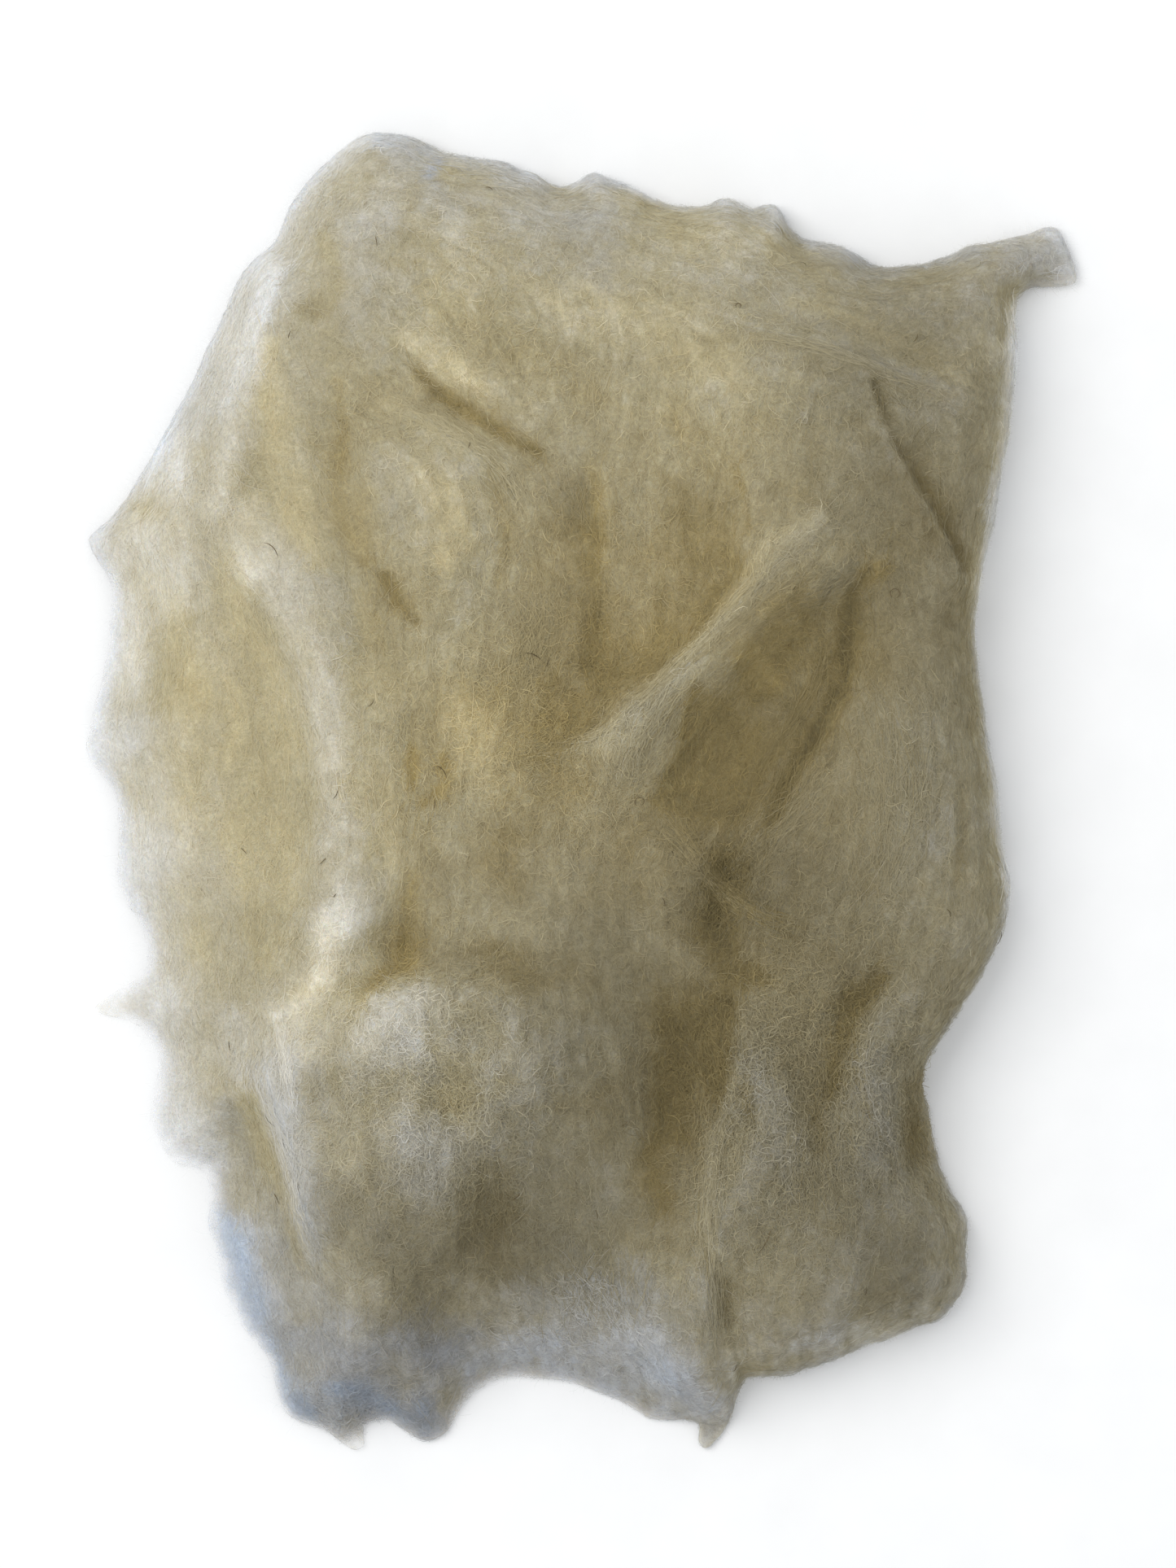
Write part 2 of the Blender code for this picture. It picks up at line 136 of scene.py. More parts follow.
# Soft bands and patches, each along a path. left and right are how far one reaches to
# either side of one who walks along it. warmer is added to the warmth of the wool, which is -1 in
# bluish veils, 0 in white ones, 1 in cream wool and 2 where it is brownest. lighter is added to the
# log of its lightness, and lift is how far it raises the fleece, below zero for a crease
# Much of what the strokes add is painted light and shade. Those away from the window, and the darker ones
# along creases, slits, pits, notches, hollows and the feet of ridges and lobes, paint shade.
Stroke = namedtuple("Stroke", "name left right warmer lighter lift path")
# Lighter ones on crests, crowns, rolls and banks that face the window paint light, partly with the wool's
# own paler tone. Warmer in creases and hollows is partly the wool's own brown and partly painted light
# bounced inside the wool. Warmth below zero paints bluish sky light on thin veils.
STROKES = (
    Stroke("right side, away from the window", 62, 62, 0.0, -0.42, 0, ((100, 140), (95, 0), (90, -120))),
    Stroke("lower end, away from the window", 65, 65, 0.0, -0.36, 0, ((-60, -190), (110, -170))),
    Stroke("warmer middle of the right half", 60, 60, 0.6, 0.0, 0, ((40, 60), (50, -40))),
    Stroke("left hollow", 20, 20, 0.0, 0.18, 0, ((-104, 44), (-104, 4), (-104, -24))),
    # Painted shade: the lower middle, the lower right and the foot of the lobe darker, away from the
    # window
    Stroke("dark lower middle", 40, 40, 0.1, -0.50, 0, ((50, -30), (14, -48), (4, -100), (-10, -132))),
    Stroke("dark lower right", 28, 28, 0.0, -0.10, 0, ((50, -70), (52, -108), (100, -124))),
    Stroke("dark foot of the lobe", 21, 21, 0.2, -0.42, 0, ((-78, -128), (-34, -138), (-52, -160))),
    Stroke("shade above the strand", 4, 11, 0.2, -0.12, 0, ((24, 50), (12, 34), (2, 22), (-4, 8))),
    # Painted shade in the crease beside the strand
    Stroke("crease beside the strand", 3, 4, 0.3, -0.14, -0.6, ((44, 62), (37, 53), (25, 41), (16, 32))),
    # Painted bluish sky light on the thin lower left edge
    Stroke("cool lower left edge", 12, 12, -0.9, 0.0, 0, (
        (-112, -146), (-100, -172), (-84, -190), (-56, -190),
    )),
    Stroke("pale fluffy lobe", 26, 26, -0.2, 0.0, 0, ((-70, -84), (-48, -98), (-30, -110))),
    Stroke("light veil, upper left", 8, 8, -0.2, 0.20, 0, ((-137, 78), (-135, 36))),
    Stroke("light shoulder by the hollow", 8, 8, 0.05, 0.18, 0, ((-106, 70), (-103, 54))),
    Stroke("shade right of the centre lobe", 8, 8, 0.2, -0.16, 0, ((-10, 110), (-13, 92), (14, 76))),
    Stroke("light band above the bottom veil", 7, 7, -0.3, 0.16, 0, (
        (-46, -151), (-20, -152), (8, -152),
    )),
    Stroke("light bank left of the ridge", 5, 5, -0.05, 0.1, 0, ((-92, 38), (-92, 20))),
    Stroke("its lower stretch beside the ridge", 5, 5, -0.05, 0.12, 0, ((-91, -10), (-91, -34))),
    Stroke("bluish skirt of the lobe", 10, 10, -0.45, -0.1, 0, ((-96, -142), (-78, -158))),
    Stroke("foot of the ridge", 6, 6, -0.05, -0.14, 0, ((-88, 6), (-87, -4))),
    Stroke("light end of the ridge", 6, 6, -0.15, 0.2, 0, ((-71, -36), (-66, -50))),
    Stroke("warm spot of the middle", 8, 8, 0.35, -0.16, 0, ((-44, -22), (-43, -34))),
    Stroke("warm band above the lobe", 10, 10, 0.35, -0.06, 0, ((-30, -46), (-14, -56), (6, -62))),
    Stroke("grey veil at the top", 9, 9, -0.4, 0.0, 0, ((-48, 180), (-28, 182), (-8, 180), (6, 176))),
    Stroke("paler left shoulder", 9, 9, -0.25, 0.08, 0, ((-132, 90), (-120, 106))),
    Stroke("paler side of the roll", 7, 7, -0.25, 0.0, 0, ((-88, 106), (-90, 90))),
    # Painted bluish sky light on the thin veils at the bottom
    Stroke("bluish veil, bottom left", 8, 8, -0.4, 0.0, 0, ((-46, -181), (-31, -166))),
    Stroke("bluish veil, bottom", 8, 8, -0.4, 0.0, 0, ((8, -151), (22, -150))),
    Stroke("shade by the second trough", 7, 7, 0.05, -0.14, 0, ((58, 31), (74, 16))),
    Stroke("light above the root", 12, 12, 0.0, 0.14, 0, ((62, 122), (66, 100), (64, 86))),
    Stroke("light at the top", 7, 7, 0.0, 0.12, 0, ((30, 168), (58, 166))),
    Stroke("light lower edge", 9, 9, -0.8, 0.06, 0, (
        (-32, -178), (-6, -177), (8, -180), (20, -180), (36, -186),
    )),
    Stroke("light right lower edge", 6, 6, -0.3, 0.26, 0, ((84, -170), (104, -160))),
    # Painted bluish sky light on the bank at the lower left
    Stroke("bluish bank, lower left", 13, 13, -0.5, 0.04, 0, ((-114, -108), (-112, -126), (-106, -144))),
    Stroke("darker middle", 20, 20, 0.6, -0.16, 0, ((-8, 72), (-12, 16))),
    Stroke("shade of the right shoulder", 22, 22, 0.35, -0.12, 0, ((98, 76), (112, 40))),
    Stroke("warm ground beside the strand", 15, 15, 0.3, 0.0, 0, ((62, 50), (92, 42))),
    Stroke("warm ground beside the ridge", 12, 12, 0.35, 0.06, 0, ((-58, 40), (-55, -30))),
    Stroke("pale shoulder, left", 12, 12, -0.38, 0.30, 0, ((-126, 96), (-124, 60))),
    Stroke("pale lower end of the ridge", 11, 11, -0.15, 0.32, 0, ((-78, -44), (-82, -60), (-84, -76))),

    # Partly the veil's own white, partly painted light that shines through it
    Stroke("white rim, upper left", 12, 25, -0.6, 0.20, 0, (
        (-71, 196), (-88, 176), (-102, 152), (-116, 126), (-131, 103), (-146, 84),
    )),
    Stroke("pale roll", 6, 8, -0.35, 0.24, 1.0, (
        (-96, 160), (-100, 140), (-104, 120), (-108, 100), (-108, 88), (-103, 76), (-99, 64),
    )),
    Stroke("olive band beside the roll", 9, 4, 0.25, 0.2, -0.6, (
        (-96, 136), (-96, 118), (-93, 102), (-89, 86), (-82, 70),
    )),
    Stroke("brown spot, upper left", 4, 4, 0.4, -0.22, 0, ((-84, 149), (-80, 146))),
    Stroke("brown streak, upper left", 3, 4, 0.5, 0.02, -0.6, (
        (-73, 124), (-71, 112), (-74, 98), (-73, 84), (-68, 70),
    )),
    Stroke("cool band at the top", 9, 9, -0.3, 0.06, 0, (
        (-57, 186), (-62, 170), (-62, 154), (-66, 140), (-58, 132),
    )),
    Stroke("grey corner", 6, 6, -0.7, 0.0, 0, ((-62, 199), (-52, 196), (-46, 186))),
    Stroke("thin spot", 2, 2, -1.0, -0.12, 0, ((-43, 194), (-47, 188))),
    Stroke("pale band at the top", 8, 8, -0.1, 0.14, 0, ((-37, 174), (-38, 158), (-46, 146))),
    # Painted highlight on the bank above the crease
    Stroke("bright bank above the crease", 7, 4, -0.05, 0.32, 0.8, ((-53, 138), (-42, 131), (-30, 122))),
    Stroke("upper brown patch", 4, 7, 0.05, 0.06, -0.5, (
        (-46, 148), (-32, 146), (-20, 141), (-12, 132),
    )),
    # Painted shade in the upper crease
    Stroke("upper crease", 3.5, 2.6, 0.8, -0.16, -0.9, (
        (-50, 127), (-41, 120), (-31, 114), (-22, 108), (-13, 103),
    )),
    Stroke("upper edge of the centre lobe", 3, 6, -0.05, 0.14, 0.6, (
        (-58, 119), (-46, 114), (-34, 106), (-24, 99),
    )),
    Stroke("crown of the centre lobe", 8, 9, 0.25, 0.18, 0.6, ((-49, 94), (-42, 84), (-38, 72))),
    Stroke("brown left of the crown", 4, 5, 0.4, 0.08, -0.5, ((-66, 92), (-65, 72))),
    # Painted shade in the notch under the lobe
    Stroke("notch under the lobe", 3, 3.5, 1.0, -0.20, -1.0, ((-59, 67), (-55, 58), (-50, 52))),
    Stroke("brown under the notch", 5, 4, 0.3, 0.08, 0, ((-66, 60), (-63, 47))),
    Stroke("crease right of the lobe", 3, 3, 0.55, -0.04, -0.6, (
        (-27, 101), (-24, 88), (-22, 76), (-26, 63),
    )),

    Stroke("light sweep, upper middle", 13, 10, 0.1, 0.14, 0.5, (
        (-10, 152), (8, 147), (26, 137), (42, 125), (55, 108),
    )),
    Stroke("thin patch at the top", 9, 9, -0.05, -0.12, 0, ((-4, 174), (5, 163))),
    Stroke("grey rim at the top", 4, 6, -0.55, -0.02, 0, (
        (-46, 197), (-18, 190), (4, 189), (39, 181), (60, 178), (74, 168), (90, 161), (122, 165),
    )),
    Stroke("brown below the light sweep", 6, 8, 0.15, -0.06, 0, ((-14, 138), (-1, 126), (5, 116))),
    Stroke("warm patch, upper middle", 6, 8, 0.3, 0.04, 0, ((28, 116), (41, 106), (47, 94))),
    Stroke("trough of the middle", 3, 2.5, 0.3, 0.14, -0.4, ((2, 101), (5, 90), (5, 76), (4, 62))),
    Stroke("its lower stretch", 4, 4, 0.4, -0.04, -0.4, ((4, 52), (4, 40), (8, 30))),
    Stroke("dark streak by the root", 2.5, 2.5, 0.15, -0.04, -0.5, ((43, 85), (43, 73))),
    Stroke("crease by the root", 1.6, 1.8, 0.4, -0.02, -0.5, ((47, 99), (50, 88), (51, 78))),
    Stroke("brown right of the middle", 17, 17, 0.15, -0.04, 0, ((18, 96), (30, 70), (22, 42))),
    Stroke("bright patch left of the strand", 6, 6, -0.2, 0.20, 0, ((17, 55), (18, 46))),

    Stroke("olive above the layer edge", 7, 3, 0.2, 0.10, -0.6, (
        (64, 149), (82, 143), (98, 135), (113, 127),
    )),
    Stroke("upper right layer edge", 1.4, 6, 0.3, -0.10, 0.8, (
        (52, 139), (68, 136), (84, 131), (98, 125), (113, 121),
    )),
    # Painted shade in the slit beside the outer layer
    Stroke("slit beside the outer layer", 4, 1.6, 0.9, -0.42, -1.5, (
        (89, 124), (93, 112), (99, 100), (105, 90), (111, 79), (117, 68),
    )),
    Stroke("dark wedge beside the slit", 7, 7, 0.1, -0.02, 0, ((106, 108), (112, 92), (118, 74))),
    # Painted shade on the inner side of the slit
    Stroke("inner side of the slit", 3, 5, 0.3, -0.20, 0.6, (
        (85, 114), (93, 100), (102, 86), (111, 71),
    )),
    # Painted light: the steep right rim made lighter than its own shade leaves it
    Stroke("right rim", 6, 4, -0.5, 0.46, 0, (
        (133, 148), (132, 124), (127, 96), (122, 60), (125, 24), (129, -10), (131, -34),
    )),
    Stroke("thin tab", 9, 9, -0.7, 0.0, 0, ((134, 166), (149, 165))),

    # Painted light on the side of the root that faces the window
    Stroke("bright side of the root", 5, 4, -0.2, 0.26, 0.6, ((72, 82), (58, 76), (51, 64), (44, 54))),
    Stroke("grey side of the root", 5, 5, 0.3, 0.14, 0, ((80, 74), (68, 66), (56, 54))),
    Stroke("twisted strand", 6, 3.2, -0.45, 0.14, 0.9, (
        (48, 57), (38, 46), (30, 39), (22, 31), (14, 23), (6, 16), (-3, 10),
    )),
    Stroke("foot of the strand", 9, 10, 0.15, -0.18, 0, ((28, 34), (20, 22), (14, 10), (10, -3))),
    # Painted shade in the crease beside the strand's foot
    Stroke("dark beside the foot", 5, 1.2, 1.4, -0.10, -0.6, (
        (34, 32), (32, 22), (31, 13), (27, 4), (23, -2),
    )),
    # Painted shade in the basin
    Stroke("basin", 11, 9, 0.8, -0.16, 0, ((40, 22), (42, 8), (48, -2))),
    Stroke("warm spot in the basin", 3.5, 3.5, 2.0, 0.0, 0, ((60, 48), (64, 42))),
    Stroke("basin under the root", 6, 6, 0.5, 0.24, 0, ((50, 42), (60, 34))),
    Stroke("rib beside the crease", 4, 3, 0.4, -0.16, 0.6, (
        (75, 46), (72, 33), (66, 22), (58, 12), (51, 1),
    )),
    # Painted shade in the right crease
    Stroke("right crease", 2.4, 2.2, 1.5, -0.28, -1.0, (
        (87, 68), (82, 60), (81, 50), (81, 38), (78, 29), (72, 19), (66, 10), (62, 0), (59, -10),
    )),
    Stroke("warm brown by the root", 4, 4, 0.7, 0.2, 0, ((93, 70), (85, 66))),
    # Painted shade below the basin
    Stroke("dark below the basin", 4, 4, 0.8, -0.22, -0.3, ((28, -4), (40, -4), (50, -6))),

    Stroke("right lobe", 13, 13, -0.1, 0.02, 0, ((88, 20), (94, 0), (96, -22))),
    Stroke("slit in the right lobe", 2, 2, 0.4, 0.0, -0.5, ((116, 2), (116, -12), (114, -28))),
    Stroke("wisp over the pits", 2, 2, -0.1, 0.0, 0.3, (
        (30, -13), (37, -25), (46, -34), (56, -39), (67, -41),
    )),
    # Painted shade in the two pits
    Stroke("pit", 5, 4, 2.0, -0.10, -0.8, ((42, -21), (47, -31))),
    Stroke("lower pit", 4, 4, 1.8, -0.20, -0.8, ((41, -34), (44, -45))),
    Stroke("light puff beside the pits", 6, 7, -0.2, 0.15, 0.5, (
        (22, -18), (26, -28), (24, -40), (18, -50),
    )),
    Stroke("brown below the pits", 6, 6, 0.4, -0.12, 0, ((42, -55), (54, -56))),

    # Partly the veil's own white, partly painted light that shines through it
    Stroke("white veil on the left", 18, 16, -0.8, 0.40, 0, (
        (-147, 64), (-145, 40), (-150, 16), (-145, 0), (-139, -20), (-136, -45), (-131, -70),
        (-130, -95), (-122, -112),
    )),
    Stroke("light patch, left", 5, 5, -0.15, 0.04, 0, ((-133, 36), (-137, 14))),
    Stroke("olive, left", 8, 7, 0.2, 0.06, 0, (
        (-124, 56), (-120, 34), (-122, 8), (-122, -24), (-116, -52),
    )),
    Stroke("brown streaks of the left hollow", 3, 3, 0.1, 0.10, 0, ((-107, 33), (-106, 20), (-109, 8))),
    Stroke("streak above them", 3, 4, 0.0, 0.12, 0, ((-101, 50), (-95, 39), (-92, 26))),
    Stroke("streak beside the ridge", 4, 5, 0.0, 0.1, 0, ((-90, 18), (-88, 4), (-88, -5))),
    Stroke("lower streak", 4, 4, 0.05, 0.08, 0, ((-107, -6), (-107, -18), (-101, -31))),
    Stroke("lowest streak", 5, 5, 0.2, 0.04, 0, ((-99, -36), (-96, -52))),
    Stroke("outer streak", 4, 4, 0.1, 0.06, 0, ((-118, 42), (-117, 24))),
    # Painted light on the left ridge, which faces the window, with its own paler wool
    Stroke("left ridge", 13, 7, -0.22, 0.22, 0.8, (
        (-98, 84), (-90, 60), (-84, 42), (-79, 26), (-75, 10), (-73, -6), (-75, -22), (-76, -36),
        (-79, -48), (-85, -60), (-93, -68),
    )),
    Stroke("foot of the left ridge", 2, 3, -0.05, 0.08, -0.4, (
        (-85, 20), (-83, 4), (-85, -10), (-87, -26), (-88, -42), (-95, -55),
    )),
    Stroke("brown V", 5, 5, 0.55, 0.08, -0.4, ((-52, -27), (-54, -38), (-56, -48), (-54, -55))),
    Stroke("its left arm", 2.5, 2.5, 0.6, 0.02, -0.6, ((-68, -65), (-61, -57), (-53, -52))),
    Stroke("dark spots of the middle", 2, 2, 1.0, -0.02, -0.5, ((-52, 13), (-51, 2))),
    Stroke("ring in the middle", 3, 3, 0.9, 0.0, -0.4, ((-48, -3), (-41, 2), (-42, 9))),
    Stroke("brown patch of the middle", 11, 11, 0.5, -0.12, 0, ((-26, -14), (-22, -26))),
    # Painted shade in the hollow above the fluffy lobe
    Stroke("brown above the fluffy lobe", 9, 9, 0.3, -0.24, 0, (
        (-62, -60), (-45, -52), (-30, -54), (-14, -60),
    )),
    Stroke("peach patch of the middle", 16, 16, 0.3, 0.20, 0, ((-38, 28), (-30, 8))),

    Stroke("pale edge, lower left", 8, 3, -0.6, 0.18, 0.8, (
        (-98, -84), (-95, -94), (-91, -106), (-88, -118), (-86, -130), (-82, -140),
    )),
    Stroke("pale strand inside it", 2.6, 1.5, -0.4, 0.26, 0.8, ((-93, -68), (-90, -80), (-88, -97))),
    Stroke("olive beside the pale edge", 4, 5, -0.3, -0.10, -0.6, (
        (-108, -96), (-102, -108), (-97, -122), (-91, -138),
    )),
    Stroke("yellowish bank, lower left", 7, 9, -0.5, 0.22, 0, ((-104, -68), (-102, -86))),
    # Painted bluish sky light on the thin lower left
    Stroke("bluish lower left", 7, 14, -1.2, 0.12, 0, (
        (-110, -128), (-106, -146), (-98, -162), (-92, -180),
    )),
    # Painted highlights on the crowns of the fluffy lobe, partly with their paler wool
    Stroke("crown of the fluffy lobe", 13, 13, -0.3, 0.28, 0.8, ((-68, -76), (-58, -70), (-48, -77))),
    Stroke("second crown", 11, 11, -0.1, 0.16, 0.5, ((-20, -77), (-15, -92))),
    Stroke("third crown", 10, 10, -0.2, -0.02, 0.5, ((-53, -102), (-48, -115))),
    Stroke("streaks left of the crowns", 3, 3, -0.3, 0.0, -0.5, ((-81, -83), (-78, -98))),
    # Painted shade between the crowns
    Stroke("streaks between the crowns", 3, 3.5, 0.1, -0.20, -0.4, ((-64, -105), (-62, -119))),
    Stroke("dip between the crowns", 3, 4, 0.0, 0.14, -0.5, ((-42, -89), (-38, -97), (-33, -102))),
    # Painted shade under the lobe
    Stroke("brown patch under the lobe", 9, 7, 0.3, -0.12, -0.4, (
        (-29, -120), (-26, -128), (-24, -136), (-26, -147),
    )),
    Stroke("dull foot of the lobe", 11, 11, 0.1, -0.12, 0, ((-56, -138), (-52, -152), (-47, -164))),
    Stroke("bluish foot of the lobe", 10, 10, -0.7, -0.12, 0, ((-86, -166), (-66, -173), (-40, -168))),
    Stroke("slate spot on the tuft", 4, 4, -0.9, -0.1, 0, ((-90, -187), (-82, -191))),
    Stroke("grey edge of the tuft", 4, 5, -1.2, 0.0, 0, ((-74, -183), (-66, -183), (-58, -190))),
    Stroke("slate point", 7, 7, -1.2, -0.30, 0, ((-49, -188), (-48, -198))),
    Stroke("bottom veil", 12, 12, -0.75, 0.20, 0, ((-22, -172), (0, -166), (18, -169), (28, -183))),
    Stroke("lightest part of the bottom veil", 6, 6, 0.05, 0.08, 0, ((2, -158), (16, -168))),

    # Painted shade in the lower hollow and along its right edge
    Stroke("lower hollow", 9, 10, 0.9, -0.20, -1.2, ((41, -66), (33, -76), (28, -90), (28, -104))),
    Stroke("its right edge", 2.5, 5, 0.6, -0.22, -0.8, ((46, -64), (46, -76), (41, -92))),
    Stroke("its tail", 5, 5, 0.7, -0.06, -0.6, ((22, -107), (21, -118), (24, -127))),
    Stroke("brown left of the lower hollow", 7, 7, 0.4, -0.12, 0, ((10, -91), (8, -106))),
    Stroke("wavy ridge", 3, 3, -0.12, 0.16, 0.8, (
        (47, -88), (46, -96), (39, -106), (40, -118), (38, -130), (42, -141),
    )),
    Stroke("upper part of the wavy ridge", 4, 2.5, -0.1, 0.06, 0.8, (
        (49, -66), (53, -80), (56, -92), (58, -103),
    )),
    # Painted shade in the nick
    Stroke("nick in the wavy ridge", 2, 2, 0.9, -0.30, -0.8, ((50, -90), (52, -99))),
    Stroke("strand right of the wavy ridge", 3, 3, -0.12, 0.08, 0.6, (
        (60, -91), (65, -105), (61, -120),
    )),
    Stroke("tail of the right hollow", 3, 3, 0.5, -0.10, -0.6, ((71, -96), (73, -108))),
    Stroke("light puff above the lower hollow", 5, 5, -0.3, 0.16, 0.5, ((24, -46), (33, -52))),
    Stroke("warm patch under the pits", 3, 3, 0.6, -0.06, -0.4, ((47, -54), (58, -59))),
    Stroke("puff of the right lobe", 3, 3, -0.3, 0.08, 0.3, ((104, -12), (107, -18))),
    # Painted shade in the right hollow
    Stroke("right hollow", 4.5, 5.5, 0.8, -0.22, -1.0, ((90, -56), (83, -68), (77, -80), (76, -92))),
    Stroke("second wavy ridge", 3, 3, -0.05, 0.02, 0.8, (
        (101, -60), (91, -69), (86, -78), (88, -91), (95, -101), (96, -109),
    )),
    # Painted shade in the notch of the right side
    Stroke("dark notch of the right side", 5, 3, 0.5, -0.16, -0.8, (
        (104, -86), (103, -101), (101, -114),
    )),
    # Painted shade at the lower right, away from the window
    Stroke("olive, lower right", 14, 14, 0.25, -0.28, 0, ((101, -138), (90, -152))),
    Stroke("grey lower edge", 6, 6, -0.4, 0.14, 0, ((62, -172), (82, -166))),
    # Painted shade in the trough of the wisp
    Stroke("trough of the wisp", 2.6, 2.6, 0.4, -0.20, -0.8, ((40, -141), (44, -152), (46, -163))),
    Stroke("hanging wisp", 4, 4, -0.2, 0.1, 0, ((47, -176), (41, -190), (38, -199))),
)

# Locks of long fibres drawn over the ridges and across the pits. spread is how far the fibres stray
# to either side of the path
# bright, highest over the pits, lifts the painted shade that a lock's fibres take from the wool they root
# in
Lock = namedtuple("Lock", "name count spread bright path")
LOCKS = (
    Lock("crest of the root", 120, 4.5, 1.10, ((76, 80), (64, 71), (54, 62), (46, 53), (38, 45))),
    Lock("crest of the strand", 200, 3.0, 1.10, (
        (52, 60), (42, 49), (33, 41), (23, 32), (12, 22), (-2, 12),
    )),
    Lock("foot of the strand", 150, 6.0, 1.08, ((36, 44), (27, 34), (20, 22), (15, 10), (11, -3))),
    Lock("loose end of the strand", 100, 4.0, 1.12, ((14, 24), (2, 16), (-10, 11), (-22, 9))),
    Lock("wisp over the pits", 160, 4.5, 1.25, (
        (22, -4), (30, -12), (37, -24), (46, -33), (56, -39), (70, -43),
    )),
    Lock("second wisp over the pits", 90, 6.0, 1.12, ((60, -12), (54, -22), (46, -34), (36, -46))),
    Lock("fan below the basin", 200, 9.0, 1.14, ((76, 14), (66, 0), (56, -14), (44, -28))),
    Lock("rib beside the crease", 110, 2.4, 1.10, ((76, 48), (72, 33), (66, 22), (58, 12), (51, 1))),
    Lock("right lobe", 120, 14.0, 1.10, ((90, 40), (98, 18), (98, -6), (90, -28), (80, -44))),
    Lock("second wavy ridge", 150, 3.0, 1.14, ((100, -54), (88, -68), (84, -82), (88, -96), (96, -112))),
    Lock("wavy ridge", 200, 3.2, 1.14, (
        (49, -66), (53, -80), (50, -92), (41, -105), (40, -118), (38, -130), (41, -150), (42, -170),
    )),
    Lock("strand right of the hollow", 130, 3.0, 1.12, ((62, -84), (66, -98), (62, -112), (66, -126))),
    Lock("wisps of the lower right", 200, 13.0, 1.12, ((66, -60), (72, -84), (70, -108), (76, -130))),
    Lock("pale edge", 140, 2.2, 1.12, ((-100, -80), (-96, -94), (-91, -106), (-87, -124), (-81, -142))),
    Lock("inner strand", 90, 2.0, 1.12, ((-93, -66), (-90, -80), (-87, -100))),
    Lock("upper right layer edge", 110, 2.2, 1.08, (
        (50, 139), (68, 136), (84, 131), (98, 125), (114, 120),
    )),
    Lock("upper edge of the centre lobe", 120, 3.4, 1.08, (
        (-58, 120), (-46, 115), (-34, 107), (-22, 97), (-16, 84),
    )),
    Lock("streaks of the middle", 160, 9.0, 1.10, ((-14, 64), (-12, 50), (-18, 36), (-24, 22))),
    Lock("wisps of the bottom veil", 160, 16.0, 1.12, ((0, -130), (4, -150), (10, -170))),
)

# Places where the wool is fluffed up, so that its fibres stand out most
Place = namedtuple("Place", "name x y reach amount")
FLUFFS = (
    Place("fluffy lobe", -45, -95, 38, 1.0),
    Place("crossing right of the centre", 42, -28, 16, 0.8),
    Place("lower right", 68, -88, 40, 1.3),
    Place("centre", -10, 20, 40, 0.4),
    Place("root of the strand", 70, 70, 14, 0.4),
    Place("bottom tuft", -68, -192, 12, 0.8),
)

# Thin ends of tightly pulled wool, which aren't see-through as a veil is
FIRM_ENDS = (
    Place("hanging wisp", 40, -192, 16, 0.85),
    Place("slate point", -48, -194, 10, 0.6),
    Place("bottom tuft", -72, -192, 12, 0.3),
    Place("bottom veil", 5, -172, 26, 0.4),
)

# How fibres grow: in how many steps, how far they sway at each, in radians, how many of the steps
# cling to the fleece, and how far each later one droops
Growth = namedtuple("Growth", "steps wave clinging droop")
KEMP_GROWTH = Growth(12, 0.02, 12, 0)
# How far on in its sway a fibre is at each step, in radians
WAVE_STEP = 2.1

# Coats of fibres. lengths, widths and lift are ranges, the first two as shares of what the settings
# say. bright is the mean and the spread of their brightness against the wool below. bend is how far
# most turn along their length, and astray how far most stray from their way as they set out, both
# in radians. orderly is how much less they stray where the flow rules. arch is how far the middle of
# one rises on average, and fluffed how many times more it does in fluffed-up wool
Coat = namedtuple(
    "Coat", "growth lengths widths bright bend astray orderly lift arch fluffed",
    defaults=(None, (1, 1), (1, 1), (1, 0), 0, 0, 0, (0, 0), 0, 0),
)
CARDED = Coat(
    growth=Growth(6, 0.12, 6, 0), lengths=(0.6, 1.4), widths=(0.7, 1.2), bright=(1.08, 0.06),
    bend=0.7, astray=0.5, orderly=0.4, lift=(0.03, 0.2), arch=0.15,
)
CURLY = Coat(
    growth=Growth(4, 0.35, 4, 0), lengths=(0.5, 1.5), widths=(0.8, 1.4), bright=(0.5, 1),
    bend=2.4, astray=1.3, orderly=1.0, lift=(0.05, 0.25), arch=0.15, fluffed=3,
)
LOCKED = Coat(widths=(0.8, 1.3), bright=(1.0, 0.05), lift=(0.05, 0.25), arch=0.12)
# Wisps are brighter than the wool they root in: painted light, for the light of the floor and sky that
# shines through them
WISPY = Coat(
    growth=Growth(6, 0.25, 0, 0.12), lengths=(0.3, 1.2), widths=(0.22, 0.4), bright=(1.5, 0.1),
    bend=1.4, astray=0.9,
)

# The coats of curly fibres, from below, and how much higher each lies than the one before. They are
# this bright, and brighter or darker by this contrast times what bright draws for each fibre
CURLY_COATS = ("curly_fibres_under", "curly_fibres_between", "curly_fibres_over")
COAT_GAP = 0.1
CURLY_BRIGHTNESS = 1.07
CURLY_CONTRAST = 0.14

# How densely fibres are strewn. Carded ones: everywhere, on light streaks, and nowhere less than
# this, beside what the order of the flow adds. Curly ones: everywhere, and in fluffed-up wool
CARDED_EVERYWHERE = 0.3
CARDED_ON_STREAKS = 0.3
FEWEST_CARDED = 0.05
CURLY_EVERYWHERE = 0.5
CURLY_IN_FLUFF = 1.5
# Fibres root no lower than this, so that none lies under the batt
LOWEST_FIBRE = 1.5

# A lock's fibres run along such a share of its path, from such a place on it. They lie astray by
# this share of its spread, drift towards another place beside it, and sway from a phase up to this
LOCK_STEPS = 9
LOCK_STRETCH = (0.25, 0.6)
LOCK_START = (-0.05, 1.05)
LOCK_STRAY = 0.6
LOCK_DRIFT = 0.7
LOCK_SWAY = 0.4
LOCK_PHASE = 6.0

